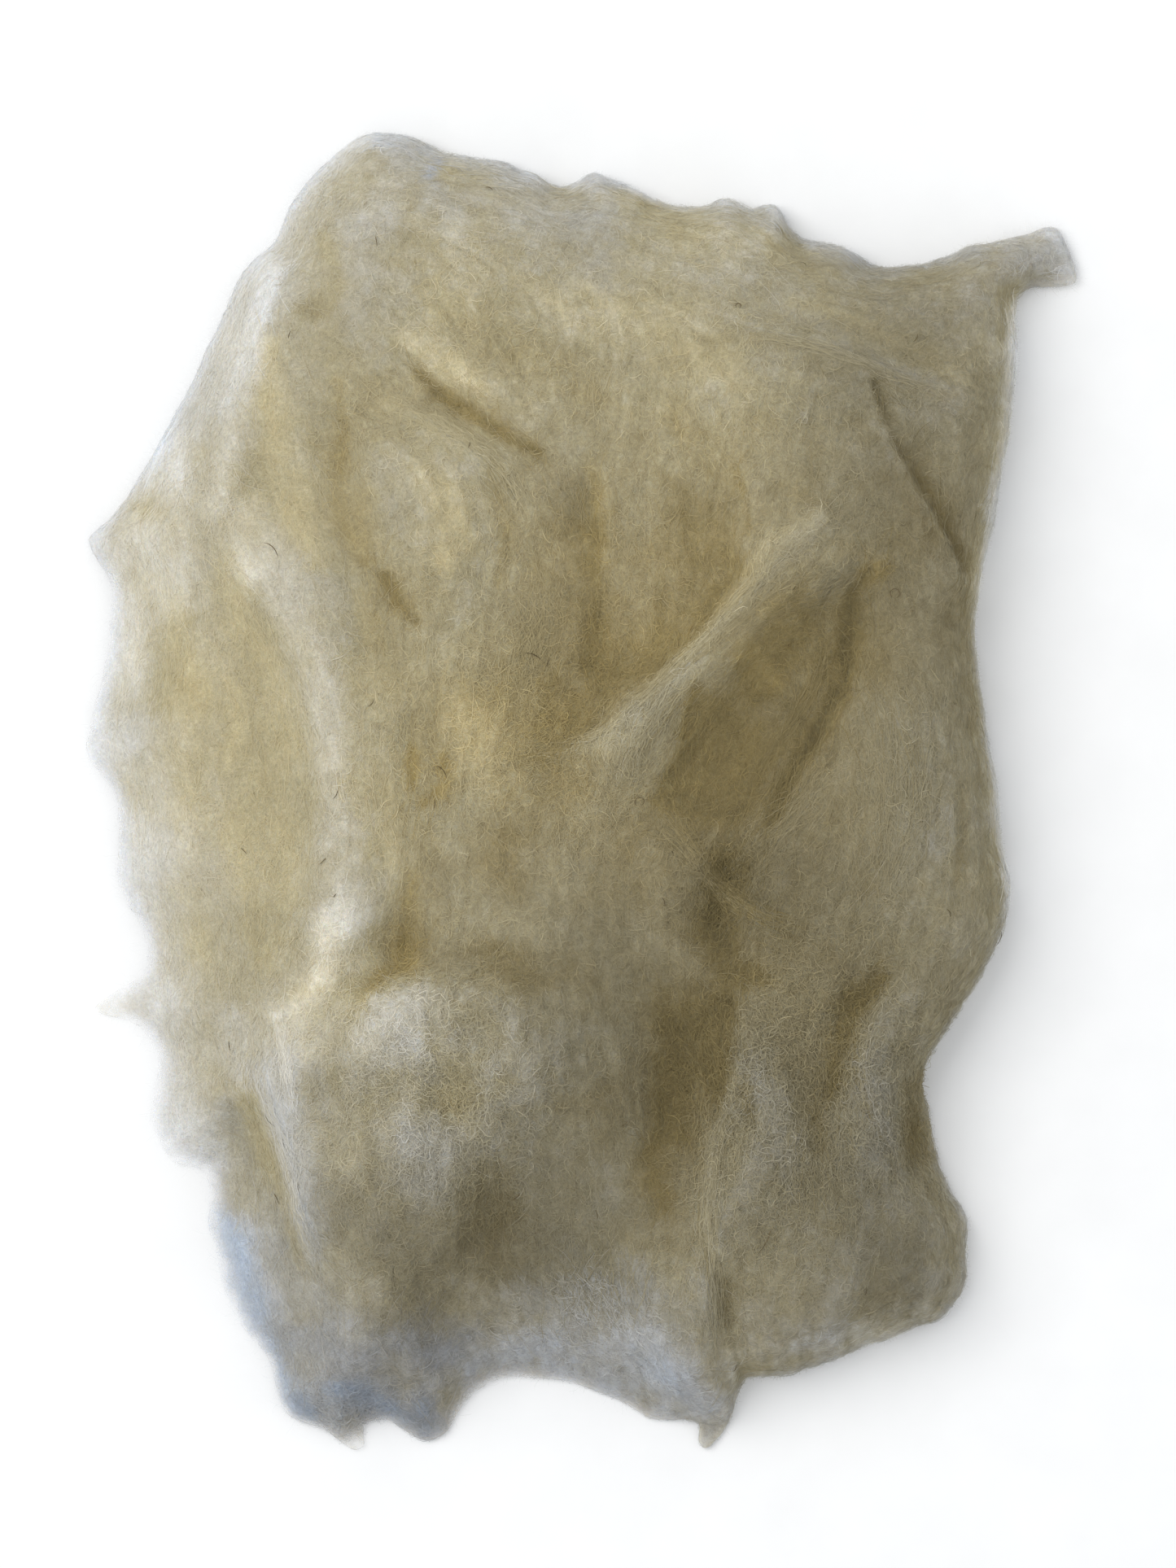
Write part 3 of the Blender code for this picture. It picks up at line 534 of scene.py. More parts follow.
# Wisps root on steep rims up to this height, and on veils. They rise a little as they set out. Their
# length is a share of what the settings say, and more on veils
STEEP_RIM = (0.5, 0.95)
HIGHEST_WISP = 12.0
WISPS_ON_VEILS = 0.5
WISP_RISE = 0.25
WISP_SHARE = 0.2
WISP_SHARE_ON_VEILS = 0.5
# The slope that shows them the way out is measured this far to either side, once the loft is blurred
SLOPE_REACH = 2.0
SLOPE_BLUR = 6.0

# Kemp hairs lie this high, and their middle higher still
KEMP_LIFT = 0.5
KEMP_ARCH = 0.4

# Ribbons are narrower by this share at their ends, roll about their line by about this angle, are
# this much narrower in the thinnest veil, never get brighter than this, and never reach the floor
NARROWER_ENDS = 0.75
ROLL = 0.5
FINER_IN_VEILS = 0.5
BRIGHTEST = 0.95
FLOOR_GAP = 0.1

# Seeds of what is strewn at random
CARDED_SEED = 47
CURLY_SEEDS = (48, 49, 50)
WISP_SEED = 54
KEMP_SEED = 56
LOCK_SEED = 58

# Lengths below this count as this, so that nothing is divided by zero
SHORTEST = 1e-9

# Maps of the batt hold a value every step, and reach this far past the solid's box
MAP_STEP = 0.5
MAP_MARGIN = 16.0

# Noises: the length of their widest waves, and their seed. All repeat after so many cells
LATTICE = 512
Noise = namedtuple("Noise", "length seed")
DRIFT_NOISE = Noise(30.0, 31)
CLOUD_NOISE = Noise(11.0, 36)
MOTTLE_NOISE = Noise(15.0, 40)
GRAIN_NOISE = Noise(2.6, 44)
PATCH_NOISE = Noise(8.0, 83)
WANDER_NOISES = (Noise(14.0, 71), Noise(14.0, 81))
STREAK_SEED = 11
LUMP_SEED = 23

# How strong the flow is where half of the fibres follow it
HALF_ORDER = 0.6

# The wool's tone: what each thing adds to its warmth, and to the log of its lightness
Tone = namedtuple("Tone", "warmer lighter")
PLAIN_WARMTH = 0.96
# Painted shade in hollows, its warmth partly the wool's own brown and partly painted light bounced inside
# the wool
HOLLOW_SHADE_TONE = Tone(0.6, -0.08)
MOTTLE_TONE = Tone(0.2, -0.05)
GRAIN_TONE = Tone(-0.15, 0.05)
# Painted light at the outline: thin wool lighter, as light shines through it, and bluer, as it catches the
# sky
RIM_LIGHT_TONE = Tone(-0.6, 0.25)
DRIFT_WARMTH = 0.1
CLOUD_LIGHTNESS = 0.03
STREAK_LIGHTNESS = 0.055
LIGHT_STREAK_WARMTH = -0.16
DARK_STREAK_WARMTH = 0.12
# Ranges over which streaks and mottle start to count and then count in full
STREAK_RANGE = (0.3, 1.3)
MOTTLE_RANGE = (0.1, 1.0)
# Hollows count by how far they lie below what is around them, within each reach, with this share
HOLLOW_SHARES = ((14.0, 0.5), (5.0, 0.7))
# They warm and darken the wool between these depths, where 1 is the settings' hollow depth: painted shade,
# its warmth partly painted light bounced inside the wool
WARMED_HOLLOWS = (-0.6, 1.2)
DARKENED_HOLLOWS = (-1, 1)

# The tone and the surface vary less left of the first place, as everywhere right of the second, and
# more where the wool is fluffed up
SMOOTH_SIDE = (-95.0, -45.0)
CALMER_ON_SMOOTH_SIDE = 0.7
LIVELIER_IN_FLUFF = 0.4

# The edges of strokes wander, by this share of their narrower side, and by no more than this
WANDER_SHARE = 0.4
MOST_WANDER = 4.0
# Strokes are patchy, with the noise and with the streaks; those of the frayed width half as much as
# the narrowest
PATCHY_WITH_NOISE = 0.2
PATCHY_WITH_STREAKS = 0.25
PATCHY_RANGE = (0.2, 1.8)
FRAYED_WIDTH = 5.0
# A stroke is narrower towards its ends, down to this share, and counts up to so many reaches away
STROKE_END = 0.6
FARTHEST_SHARE = 2.6

# Shares of what lies around a spot that the batt covers, from its outline to well inside it
RIM_REACH = 7.0
RIM_COVER = (0.45, 0.95)
INNER_COVER = (0.5, 1.0)
LEAST_COVER = 0.05

# A veil is low, and so is what is around it. These are shares of the height below which wool is one
VEIL_EDGE = (0.15, 0.65)
VEIL_THIN = (0.2, 1.0)
VEIL_AROUND = (0.5, 1.1)
VEIL_REACH = 8.0
VEIL_EDGE_SHARE = 0.65
# The underside of a veil is wholly see-through, so that the veil counts only once. It ends between
# these heights, and the veil starts to count between these values of thinness
UNDER_VEIL = 1.4
UNDERSIDE_HEIGHTS = (0.2, 0.8)
UNDERSIDE_THINNESS = (0, 0.3)

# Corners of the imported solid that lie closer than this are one, and its faces are halved so often
MERGE_GAP = 0.01
SUBDIVISIONS = 2

# The nap is raised above the first height and in full above the second, less in veils and at rims
NAP_HEIGHTS = (0.5, 4)
FLATTER_IN_VEILS = 0.7
FLATTER_AT_RIMS = 0.6

# How far normals are turned towards the sky, but for those that face down
SKYWARD = 1.5
DOWN_TO_LEVEL = (-0.6, 0)

# Fine curly lines in the fleece's material, by scale, stretch and turn in degrees, and their width
FIBRE_LINES = ((420, 1.0, 0), (560, 0.6, 8), (700, 0.8, 70), (620, 0.7, 130))
LINE_WIDTH = 0.03

# The soft window light and the sky, and the camera's square sensor
WINDOW_PLACE = (-1.5, 0.9, 2.4)
WINDOW_SIZE = (2.0, 2.0)
WINDOW_COLOUR = (1.0, 0.995, 0.98)
SKY_COLOUR = (0.96, 0.98, 1.0, 1.0)
SENSOR_SIZE = 36
# The floor lies this far under the batt
FLOOR_DROP = 0.2


class FleeceSettings(bpy.types.PropertyGroup):
    lump_height: FloatProperty(
        name="Lump height", description="How far soft lumps swell the fleece",
        default=0.45 * MM, min=0.0, unit="LENGTH")
    lump_length: FloatProperty(
        name="Lump length", description="How far apart soft lumps lie",
        default=11.0 * MM, min=1.0 * MM, unit="LENGTH")
    streak_height: FloatProperty(
        name="Streak height", description="How far bundles of carded fibres stand out",
        default=0.25 * MM, min=0.0, unit="LENGTH")
    streak_width: FloatProperty(
        name="Streak width", description="How wide a bundle of carded fibres is",
        default=1.5 * MM, min=0.5 * MM, unit="LENGTH")
    streak_length: FloatProperty(
        name="Streak length", description="How long a bundle of carded fibres runs",
        default=16.0 * MM, min=1.0 * MM, unit="LENGTH")
    veil_height: FloatProperty(
        name="Veil height", description="Below this loft the wool is a see-through veil",
        default=9.0 * MM, min=0.0, unit="LENGTH")
    # The brown of deep hollows is partly painted shade and light bounced inside the wool
    hollow_depth: FloatProperty(
        name="Hollow depth", description="How deep a hollow is when the wool looks its brownest",
        default=7.0 * MM, min=1.0 * MM, unit="LENGTH")


class FibreSettings(bpy.types.PropertyGroup):
    width: FloatProperty(
        name="Fibre width", description="Width of a clump of wool fibres that shows as one",
        default=0.14 * MM, min=0.02 * MM, unit="LENGTH")
    carded_count: IntProperty(
        name="Carded fibres", description="How many long fibres lie along the carding",
        default=10000, min=0)
    carded_length: FloatProperty(
        name="Carded length", description="Length of the long fibres",
        default=13.0 * MM, min=1.0 * MM, unit="LENGTH")
    curly_count: IntProperty(
        name="Curly fibres", description="How many short curly fibres lie in each coat",
        default=24000, min=0)
    curly_length: FloatProperty(
        name="Curly length", description="Length of the short curly fibres",
        default=4.5 * MM, min=1.0 * MM, unit="LENGTH")
    wisp_count: IntProperty(
        name="Wisps", description="How many fibres stand off the torn edges", default=7500, min=0)
    wisp_length: FloatProperty(
        name="Wisp length", description="Length of the fibres that stand off the torn edges",
        default=8.0 * MM, min=1.0 * MM, unit="LENGTH")
    kemp_width: FloatProperty(
        name="Kemp width", description="Width of a stray dark hair",
        default=0.24 * MM, min=0.05 * MM, unit="LENGTH")


class ColourSettings(bpy.types.PropertyGroup):
    # The bluish veil paints the sky light that thin wool catches
    cool: FloatVectorProperty(
        name="Bluish veil", description="Thin wool that catches the sky, warmth -1", subtype="COLOR",
        default=(0.41, 0.46, 0.53))
    veil: FloatVectorProperty(
        name="White veil", description="Thin white wool, warmth 0", subtype="COLOR",
        default=(0.46, 0.46, 0.45))
    cream: FloatVectorProperty(
        name="Cream", description="Most of the fleece, warmth 1", subtype="COLOR",
        default=(0.431, 0.38, 0.24))
    # Brown is partly the wool's own darker tone and, in hollows and creases, partly painted shade and
    # light bounced inside dense wool
    brown: FloatVectorProperty(
        name="Brown", description="Dense wool in hollows, warmth 2", subtype="COLOR",
        default=(0.385, 0.30, 0.127))
    kemp: FloatVectorProperty(
        name="Kemp", description="Stray dark hairs", subtype="COLOR", default=(0.10, 0.075, 0.04))
    floor: FloatVectorProperty(
        name="Floor", description="The plain pale floor", subtype="COLOR", default=(0.93, 0.93, 0.93))


class StudioSettings(bpy.types.PropertyGroup):
    pixel: FloatProperty(
        name="Photo pixel", description="Real size of one pixel of the photo",
        default=0.25 * MM, min=0.01 * MM, unit="LENGTH")
    camera_height: FloatProperty(
        name="Camera height", description="How high the camera hangs over the floor",
        default=4.0, min=0.5, unit="LENGTH")
    window_power: FloatProperty(
        name="Window power", description="Power of the soft light on the left", default=44.0, min=0.0,
        unit="POWER")
    sky_strength: FloatProperty(
        name="Sky strength", description="Even light from all round", default=0.79, min=0.0)
    floor_size: FloatProperty(
        name="Floor size", description="Side of the square floor", default=9.0, min=1.0, unit="LENGTH")


def smoothstep(low, high, value):
    share = np.clip((value - low) / (high - low), 0, 1)
    return share * share * (3 - 2 * share)


def fading(distance, reach):
    """1 at no distance, about a third at the reach, and next to nothing beyond twice the reach."""
    return np.exp(-((distance / reach) ** 2))


def unit(vectors):
    return vectors / np.maximum(np.linalg.norm(vectors, axis=-1, keepdims=True), SHORTEST)


def soft_noise(points, size, seed):
    """Smooth noise from -1 to 1 at each point, its waves about this size apart."""
    lattice = np.random.default_rng(seed).uniform(-1, 1, (LATTICE, LATTICE))
    where = points / size
    cell = np.floor(where).astype(int)
    share = smoothstep(0, 1, where - cell)
    row, column = cell[:, 0] % LATTICE, cell[:, 1] % LATTICE
    next_row, next_column = (row + 1) % LATTICE, (column + 1) % LATTICE
    near = lattice[row, column] * (1 - share[:, 0]) + lattice[next_row, column] * share[:, 0]
    far = lattice[row, next_column] * (1 - share[:, 0]) + lattice[next_row, next_column] * share[:, 0]
    return near * (1 - share[:, 1]) + far * share[:, 1]


def layered_noise(points, size, seed, layers=3):
    """Noise with smaller and smaller waves on the large ones."""
    total = np.zeros(len(points))
    for layer in range(layers):
        total += soft_noise(points, size / 2**layer, seed + layer) / 2**layer
    return total


@functools.lru_cache(maxsize=None)
def map_points():
    """The low corner of every map, its size in steps, and the points of its grid."""
    low, high = (np.array(corner)[:2] / MM for corner in CAD_BOX)
    low, high = low - MAP_MARGIN, high + MAP_MARGIN
    across, up = (np.arange(start, end, MAP_STEP) for start, end in zip(low, high))
    grid = np.stack(np.meshgrid(across, up, indexing="ij"), axis=-1)
    return low, grid.shape[:2], grid.reshape(-1, 2)


class Map:
    """A value for each spot of an even grid over the batt, seen from above."""

    def __init__(self, values):
        self.low = map_points()[0]
        self.values = values

    def at(self, points):
        """The value at each point, blended from the four spots around it."""
        where = (points[:, :2] - self.low) / MAP_STEP
        limit = np.array(self.values.shape[:2]) - 2
        cell = np.clip(np.floor(where).astype(int), 0, limit)
        share = np.clip(where - cell, 0, 1)
        if self.values.ndim == 3:
            share = share[..., None]
        x, y = cell[:, 0], cell[:, 1]
        near = self.values[x, y] * (1 - share[:, 0]) + self.values[x + 1, y] * share[:, 0]
        far = self.values[x, y + 1] * (1 - share[:, 0]) + self.values[x + 1, y + 1] * share[:, 0]
        return near * (1 - share[:, 1]) + far * share[:, 1]


def blurred(values, reach):
    """The map's values, each blended with those around it."""
    spread = np.arange(-3 * reach, 3 * reach + MAP_STEP, MAP_STEP)
    kernel = fading(spread, reach)
    kernel /= kernel.sum()
    pad = len(kernel) // 2
    for axis in (0, 1):
        framed = np.pad(values, [(pad, pad) if axis == side else (0, 0) for side in (0, 1)], mode="edge")
        values = np.apply_along_axis(np.convolve, axis, framed, kernel, mode="valid")
    return values


@functools.lru_cache(maxsize=None)
def loft_map():
    """How high the solid's upper face stands, and 0 beside it."""
    _, shape, points = map_points()
    tree = surface_tree(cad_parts[NODE].data)
    sky = CAD_BOX[1].z / MM + 1
    down = Vector((0, 0, -1))
    loft = np.zeros(len(points))
    for index, (x, y) in enumerate(points):
        hit = tree.ray_cast(Vector((x, y, sky)), down)[0]
        if hit is not None:
            loft[index] = hit.z
    return Map(loft.reshape(shape))


def cover(reach):
    """The share of what lies within this reach of each spot that the batt covers."""
    return blurred((loft_map().values > 0).astype(float), reach)


@functools.lru_cache(maxsize=None)
def hollow_map(reach):
    """How far the upper face lies below the mean of what is around it; above zero in a hollow."""
    loft = loft_map().values
    covered = cover(reach)
    mean = blurred(loft, reach) / np.maximum(covered, LEAST_COVER)
    inner = smoothstep(*INNER_COVER, covered)
    return Map(np.where(loft > 0, (mean - loft) * inner, 0))


@functools.lru_cache(maxsize=None)
def rim_map():
    """From 0 inside the batt to 1 at its outline, where the wool thins out."""
    return Map(1 - smoothstep(*RIM_COVER, cover(RIM_REACH)))


@functools.lru_cache(maxsize=None)
def veil_map():
    """From 0 in thick wool and at firm edges to 1 at the edge of a veil."""
    veil = bpy.context.scene.wool_fleece.veil_height / MM
    loft = loft_map().values

    def below(shares, heights):
        return 1 - smoothstep(shares[0] * veil, shares[1] * veil, heights)

    veil_like = VEIL_EDGE_SHARE * below(VEIL_EDGE, loft) + (1 - VEIL_EDGE_SHARE) * below(VEIL_THIN, loft)
    return Map(veil_like * below(VEIL_AROUND, blurred(loft, VEIL_REACH)))


def around(points, place):
    """The place's amount, fading with the distance from it."""
    distance = np.hypot(points[:, 0] - place.x, points[:, 1] - place.y)
    return place.amount * fading(distance, place.reach)


def thinness(points):
    """From 0 in thick wool to 1 at the edge of a veil. Firm ends stay nearly opaque."""
    thin = veil_map().at(points)
    for end in FIRM_ENDS:
        thin *= 1 - around(points, end)
    return thin


def fluff(points):
    """0 on smooth wool, and more the more it is fluffed up."""
    total = np.zeros(len(points))
    for place in FLUFFS:
        total = np.maximum(total, around(points, place))
    return total


def liveliness(points):
    """How much tone and surface vary: less on the smooth left side, more in fluffed-up wool."""
    smooth = 1 - smoothstep(*SMOOTH_SIDE, points[:, 0])
    return 1 - CALMER_ON_SMOOTH_SIDE * smooth + LIVELIER_IN_FLUFF * fluff(points)


def nearest_run(points, path):
    """For each point: its distance to the path, the direction of the path's nearest run, how far
    along the path that is, from 0 to 1, and the point's side, from -1 on the right to 1 on the left."""
    path = np.array(path, float)
    starts, runs = path[:-1], np.diff(path, axis=0)
    lengths = np.linalg.norm(runs, axis=1)
    offsets = points[:, None] - starts[None]
    shares = np.clip((offsets * runs).sum(axis=2) / lengths**2, 0, 1)
    gaps = offsets - shares[..., None] * runs
    distances = np.linalg.norm(gaps, axis=2)
    nearest = distances.argmin(axis=1)
    row = np.arange(len(points))
    distance, gap, run = distances[row, nearest], gaps[row, nearest], runs[nearest]
    before = np.concatenate([[0], np.cumsum(lengths)[:-1]])
    along = (before[nearest] + shares[row, nearest] * lengths[nearest]) / lengths.sum()
    turn = run[:, 0] * gap[:, 1] - run[:, 1] * gap[:, 0]
    side = turn / np.maximum(lengths[nearest] * distance, SHORTEST)
    return distance, np.arctan2(run[:, 1], run[:, 0]), along, side


@functools.lru_cache(maxsize=None)
def flow_map():
    """The way the fibres lie, as the cosine and sine of twice the angle, longer where order rules."""
    _, shape, points = map_points()
    turn = 2 * math.radians(REST_TURN)
    total = np.tile([REST_ORDER * math.cos(turn), REST_ORDER * math.sin(turn)], (len(points), 1))
    for flow in FLOWS:
        distance, angle, _, _ = nearest_run(points, flow.path)
        weight = flow.order * fading(distance, flow.reach)
        total += weight[:, None] * np.column_stack([np.cos(2 * angle), np.sin(2 * angle)])
    return Map(total.reshape(*shape, 2))


def flow_angle(points):
    twice = flow_map().at(points)
    return np.arctan2(twice[:, 1], twice[:, 0]) / 2


def flow_heading(points):
    angle = flow_angle(points)
    return np.column_stack([np.cos(angle), np.sin(angle)])


def flow_order(points):
    """From 0, where fibres lie all ways, towards 1, where they all follow the flow."""
    strength = np.linalg.norm(flow_map().at(points), axis=1)
    return strength / (strength + HALF_ORDER)


@functools.lru_cache(maxsize=None)
def streak_map():
    """Noise drawn out along the flow, about -1 to 1: light and dark bundles of carded fibres."""
    settings = bpy.context.scene.wool_fleece
    _, shape, points = map_points()
    width, length = settings.streak_width / MM, settings.streak_length / MM
    total = np.zeros(len(points))
    for sense in (1, -1):
        spot, heading = points.copy(), sense * flow_heading(points)
        for _ in range(int(length / 2 / MAP_STEP)):
            total += soft_noise(spot, width, STREAK_SEED)
            spot = spot + heading * MAP_STEP
            following = flow_heading(spot)
            following[(following * heading).sum(axis=1) < 0] *= -1
            heading = following
    total -= total.mean()
    return Map((total / (2 * total.std())).reshape(shape))


@functools.lru_cache(maxsize=None)
def wander():
    """A soft move for each point of the maps, so that no edge runs too evenly."""
    points = map_points()[2]
    return np.column_stack([layered_noise(points, *noise) for noise in WANDER_NOISES])


def stroke_share(points, stroke):
    """How much the stroke counts at each point: 1 on its path, less beside it and towards its ends."""
    distance, _, along, side = nearest_run(points, stroke.path)
    reach = stroke.right + (stroke.left - stroke.right) * (0.5 + 0.5 * side)
    reach *= STROKE_END + (1 - STROKE_END) * np.sin(math.pi * along)
    return fading(distance, reach)


def close_to(points, stroke):
    """Which points lie close enough to the stroke to be changed by it."""
    path = np.array(stroke.path, float)
    margin = FARTHEST_SHARE * max(stroke.left, stroke.right) + MOST_WANDER
    inside = (points > path.min(axis=0) - margin) & (points < path.max(axis=0) + margin)
    return inside.all(axis=1)


@functools.lru_cache(maxsize=None)
def stroke_map():
    """What all strokes add at each spot, painted light and shade among it: to its warmth, to the log of
    its lightness, and to its height.
    """
    _, shape, points = map_points()
    patchy = 1 + PATCHY_WITH_NOISE * layered_noise(points, *PATCH_NOISE)
    patchy = np.clip(patchy + PATCHY_WITH_STREAKS * streak_map().at(points), *PATCHY_RANGE)
    total = np.zeros((len(points), 3))
    for stroke in STROKES:
        narrow = min(stroke.left, stroke.right)
        near = close_to(points, stroke)
        moved = points[near] + min(WANDER_SHARE * narrow, MOST_WANDER) * wander()[near]
        share = stroke_share(moved, stroke)
        frayed = share * (1 + (patchy[near] - 1) * FRAYED_WIDTH / (FRAYED_WIDTH + narrow))
        changes = (frayed * stroke.warmer, frayed * stroke.lighter, share * stroke.lift)
        total[near] += np.column_stack(changes)
    return Map(total.reshape(*shape, 3))


@functools.lru_cache(maxsize=None)
def tone_map():
    """Warmth and lightness of the wool over the whole batt, with painted shade in hollows, painted light
    at the outline, and the strokes' painted light and shade.
    """
    _, shape, points = map_points()
    depth = bpy.context.scene.wool_fleece.hollow_depth / MM
    hollow = sum(share * hollow_map(reach).at(points) for reach, share in HOLLOW_SHARES) / depth
    mottle = layered_noise(points + MOST_WANDER * wander(), *MOTTLE_NOISE)
    mottle = smoothstep(*MOTTLE_RANGE, mottle)
    streak = streak_map().at(points)
    grain = layered_noise(points, *GRAIN_NOISE)
    lively = liveliness(points)
    rim = rim_map().at(points)
    added = stroke_map().at(points)

    light_streak = LIGHT_STREAK_WARMTH * smoothstep(*STREAK_RANGE, streak)
    dark_streak = DARK_STREAK_WARMTH * smoothstep(*STREAK_RANGE, -streak)
    warmth = PLAIN_WARMTH + HOLLOW_SHADE_TONE.warmer * np.clip(hollow, *WARMED_HOLLOWS)
    warmth += DRIFT_WARMTH * layered_noise(points, *DRIFT_NOISE) + MOTTLE_TONE.warmer * mottle
    warmth += lively * (light_streak + dark_streak)
    warmth += lively * GRAIN_TONE.warmer * grain
    # Bluer at the outline: painted sky light
    warmth += RIM_LIGHT_TONE.warmer * rim

    light = CLOUD_LIGHTNESS * layered_noise(points, *CLOUD_NOISE) + STREAK_LIGHTNESS * streak
    light = lively * (light + GRAIN_TONE.lighter * grain)
    light += MOTTLE_TONE.lighter * mottle
    # Darker in hollows: painted shade; lighter at the outline: painted light
    light += HOLLOW_SHADE_TONE.lighter * np.clip(hollow, *DARKENED_HOLLOWS)
    light += RIM_LIGHT_TONE.lighter * rim
    tone = np.column_stack([warmth + added[:, 0], np.exp(light + added[:, 1])])
    return Map(tone.reshape(*shape, 2))


def wool_tint(points):
    """The wool's colour at each point, from its warmth and lightness there."""
    colours = bpy.context.scene.wool_colours
    ramp = np.array([colours.cool, colours.veil, colours.cream, colours.brown])
    warmth, light = tone_map().at(points).T
    tint = np.column_stack([np.interp(warmth, (-1, 0, 1, 2), channel) for channel in ramp.T])
    return tint * light[:, None]


def turned_skyward(normals):
    """Normals turned towards the sky, as light that wanders through wool softens its folds."""
    share = smoothstep(*DOWN_TO_LEVEL, normals[..., 2:])
    return unit(normals + SKYWARD * share * [0, 0, 1])


def surface_tree(mesh):
    """The mesh as a search tree, in millimetres."""
    points = [vertex.co / MM for vertex in mesh.vertices]
    return BVHTree.FromPolygons(points, [face.vertices for face in mesh.polygons])


def coordinates(mesh):
    """The mesh's points, a row for each, in millimetres."""
    points = np.empty(len(mesh.vertices) * 3)
    mesh.vertices.foreach_get("co", points)
    return points.reshape(-1, 3) / MM


def vertex_normals(mesh):
    normals = np.empty(len(mesh.vertices) * 3)
    mesh.vertex_normals.foreach_get("vector", normals)
    return normals.reshape(-1, 3)


def set_tint(mesh, tint):
    attribute = mesh.color_attributes.new("tint", "FLOAT_COLOR", "POINT")
    attribute.data.foreach_set("color", np.column_stack([tint, np.ones(len(tint))]).ravel())


def set_thinness(mesh, values):
    attribute = mesh.attributes.new("thinness", "FLOAT", "POINT")
    attribute.data.foreach_set("value", values)


def added_object(name, data):
    """A new object in the scene, with this mesh, camera or light."""
    made = bpy.data.objects.new(name, data)
    bpy.context.scene.collection.objects.link(made)
    return made


def finish_piece(piece, material):
    """Gives a piece its material and lets it ride with the batt."""
    piece.data.materials.clear()
    piece.data.materials.append(material)
    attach(piece, BODY)


def merged_copy(node, name):
    """A new object with the node's mesh, its loose triangles joined."""
    fleece = added_object(name, node.data.copy())
    bpy.ops.object.select_all(action="DESELECT")
    fleece.select_set(True)
    bpy.context.view_layer.objects.active = fleece
    bpy.ops.object.mode_set(mode="EDIT")
    bpy.ops.mesh.select_all(action="SELECT")
    bpy.ops.mesh.remove_doubles(threshold=MERGE_GAP * MM)
    bpy.ops.object.mode_set(mode="OBJECT")
    return fleece


def subdivide_smoothly(fleece):
    softened = fleece.modifiers.new("softened", "SUBSURF")
    softened.levels = softened.render_levels = SUBDIVISIONS
    bpy.ops.object.modifier_apply(modifier=softened.name)


def raise_nap(mesh):
    """Swells the fleece with soft lumps and bundles of fibres. The flat underside stays as it is."""
    settings = bpy.context.scene.wool_fleece
    points = coordinates(mesh)
    flat = points[:, :2]
    lumps = settings.lump_height / MM * layered_noise(flat, settings.lump_length / MM, LUMP_SEED)
    streaks = settings.streak_height / MM * streak_map().at(flat)
    upper = smoothstep(*NAP_HEIGHTS, points[:, 2])
    upper *= 1 - FLATTER_IN_VEILS * thinness(flat)
    upper *= 1 - FLATTER_AT_RIMS * rim_map().at(flat)
    swell = ((lumps + streaks) * liveliness(flat) + stroke_map().at(flat)[:, 2]) * upper
    points += vertex_normals(mesh) * swell[:, None]
    mesh.vertices.foreach_set("co", (points * MM).ravel())
    mesh.update()


class WOOL_OT_lay_fleece(bpy.types.Operator):
    """Lays the fleece: the batt's folds and hollows, fluffed up and thinned to veils at its edges"""

    bl_idname = "wool.lay_fleece"
    bl_label = "Lay the fleece"

    def execute(self, context):
        fleece = merged_copy(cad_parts[NODE], "fleece")
        subdivide_smoothly(fleece)
        raise_nap(fleece.data)
        fleece.data.shade_smooth()
        sky_normals = turned_skyward(vertex_normals(fleece.data))
        fleece.data.normals_split_custom_set_from_vertices(sky_normals)
        points = coordinates(fleece.data)
        set_tint(fleece.data, wool_tint(points))
        thin = thinness(points)
        below = 1 - smoothstep(*UNDERSIDE_HEIGHTS, points[:, 2])
        set_thinness(fleece.data, thin + below * UNDER_VEIL * smoothstep(*UNDERSIDE_THINNESS, thin))
        finish_piece(fleece, fleece_material())
        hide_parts(NODE)
        return {"FINISHED"}


class Surface:
    """The finished fleece, to pick spots on and to lay fibres over."""

    def __init__(self, mesh):
        mesh.calc_loop_triangles()
        self.tree = surface_tree(mesh)
        corners = np.empty(len(mesh.loop_triangles) * 3, int)
        mesh.loop_triangles.foreach_get("vertices", corners)
        self.triangles = coordinates(mesh)[corners.reshape(-1, 3)]
        first, second, third = self.triangles.transpose(1, 0, 2)
        across = np.cross(second - first, third - first)
        self.areas = np.linalg.norm(across, axis=1)
        self.normals = unit(across)
        self.centres = self.triangles.mean(axis=1)

    def spots(self, count, weight, chance):
        """Random spots on the upper face and the rim, where the weight allows: points and normals."""
        odds = self.areas * weight * (self.centres[:, 2] > LOWEST_FIBRE)
        picked = chance.choice(len(odds), count, p=odds / odds.sum())
        shares = np.sort(chance.random((count, 2)), axis=1)
        shares = np.column_stack([shares[:, 0], shares[:, 1] - shares[:, 0], 1 - shares[:, 1]])
        return (self.triangles[picked] * shares[..., None]).sum(axis=1), self.normals[picked]

    def nearest(self, points):
        """The nearest point of the surface to each of these, and its normal."""
        found = [self.tree.find_nearest(Vector(point)) for point in points]
        return np.array([hit[0] for hit in found]), np.array([hit[1] for hit in found])


@functools.lru_cache(maxsize=None)
def fleece_surface():
    return Surface(bpy.data.objects["fleece"].data)


def turned(headings, normals, angle):
    """The headings turned about the normals by these angles."""
    sideways = np.cross(normals, headings)
    return headings * np.cos(angle)[:, None] + sideways * np.sin(angle)[:, None]


def level(angle):
    """A level heading for each angle."""
    return np.column_stack([np.cos(angle), np.sin(angle), np.zeros(len(angle))])


def along_surface(headings, normals):
    return unit(headings - (headings * normals).sum(axis=1, keepdims=True) * normals)


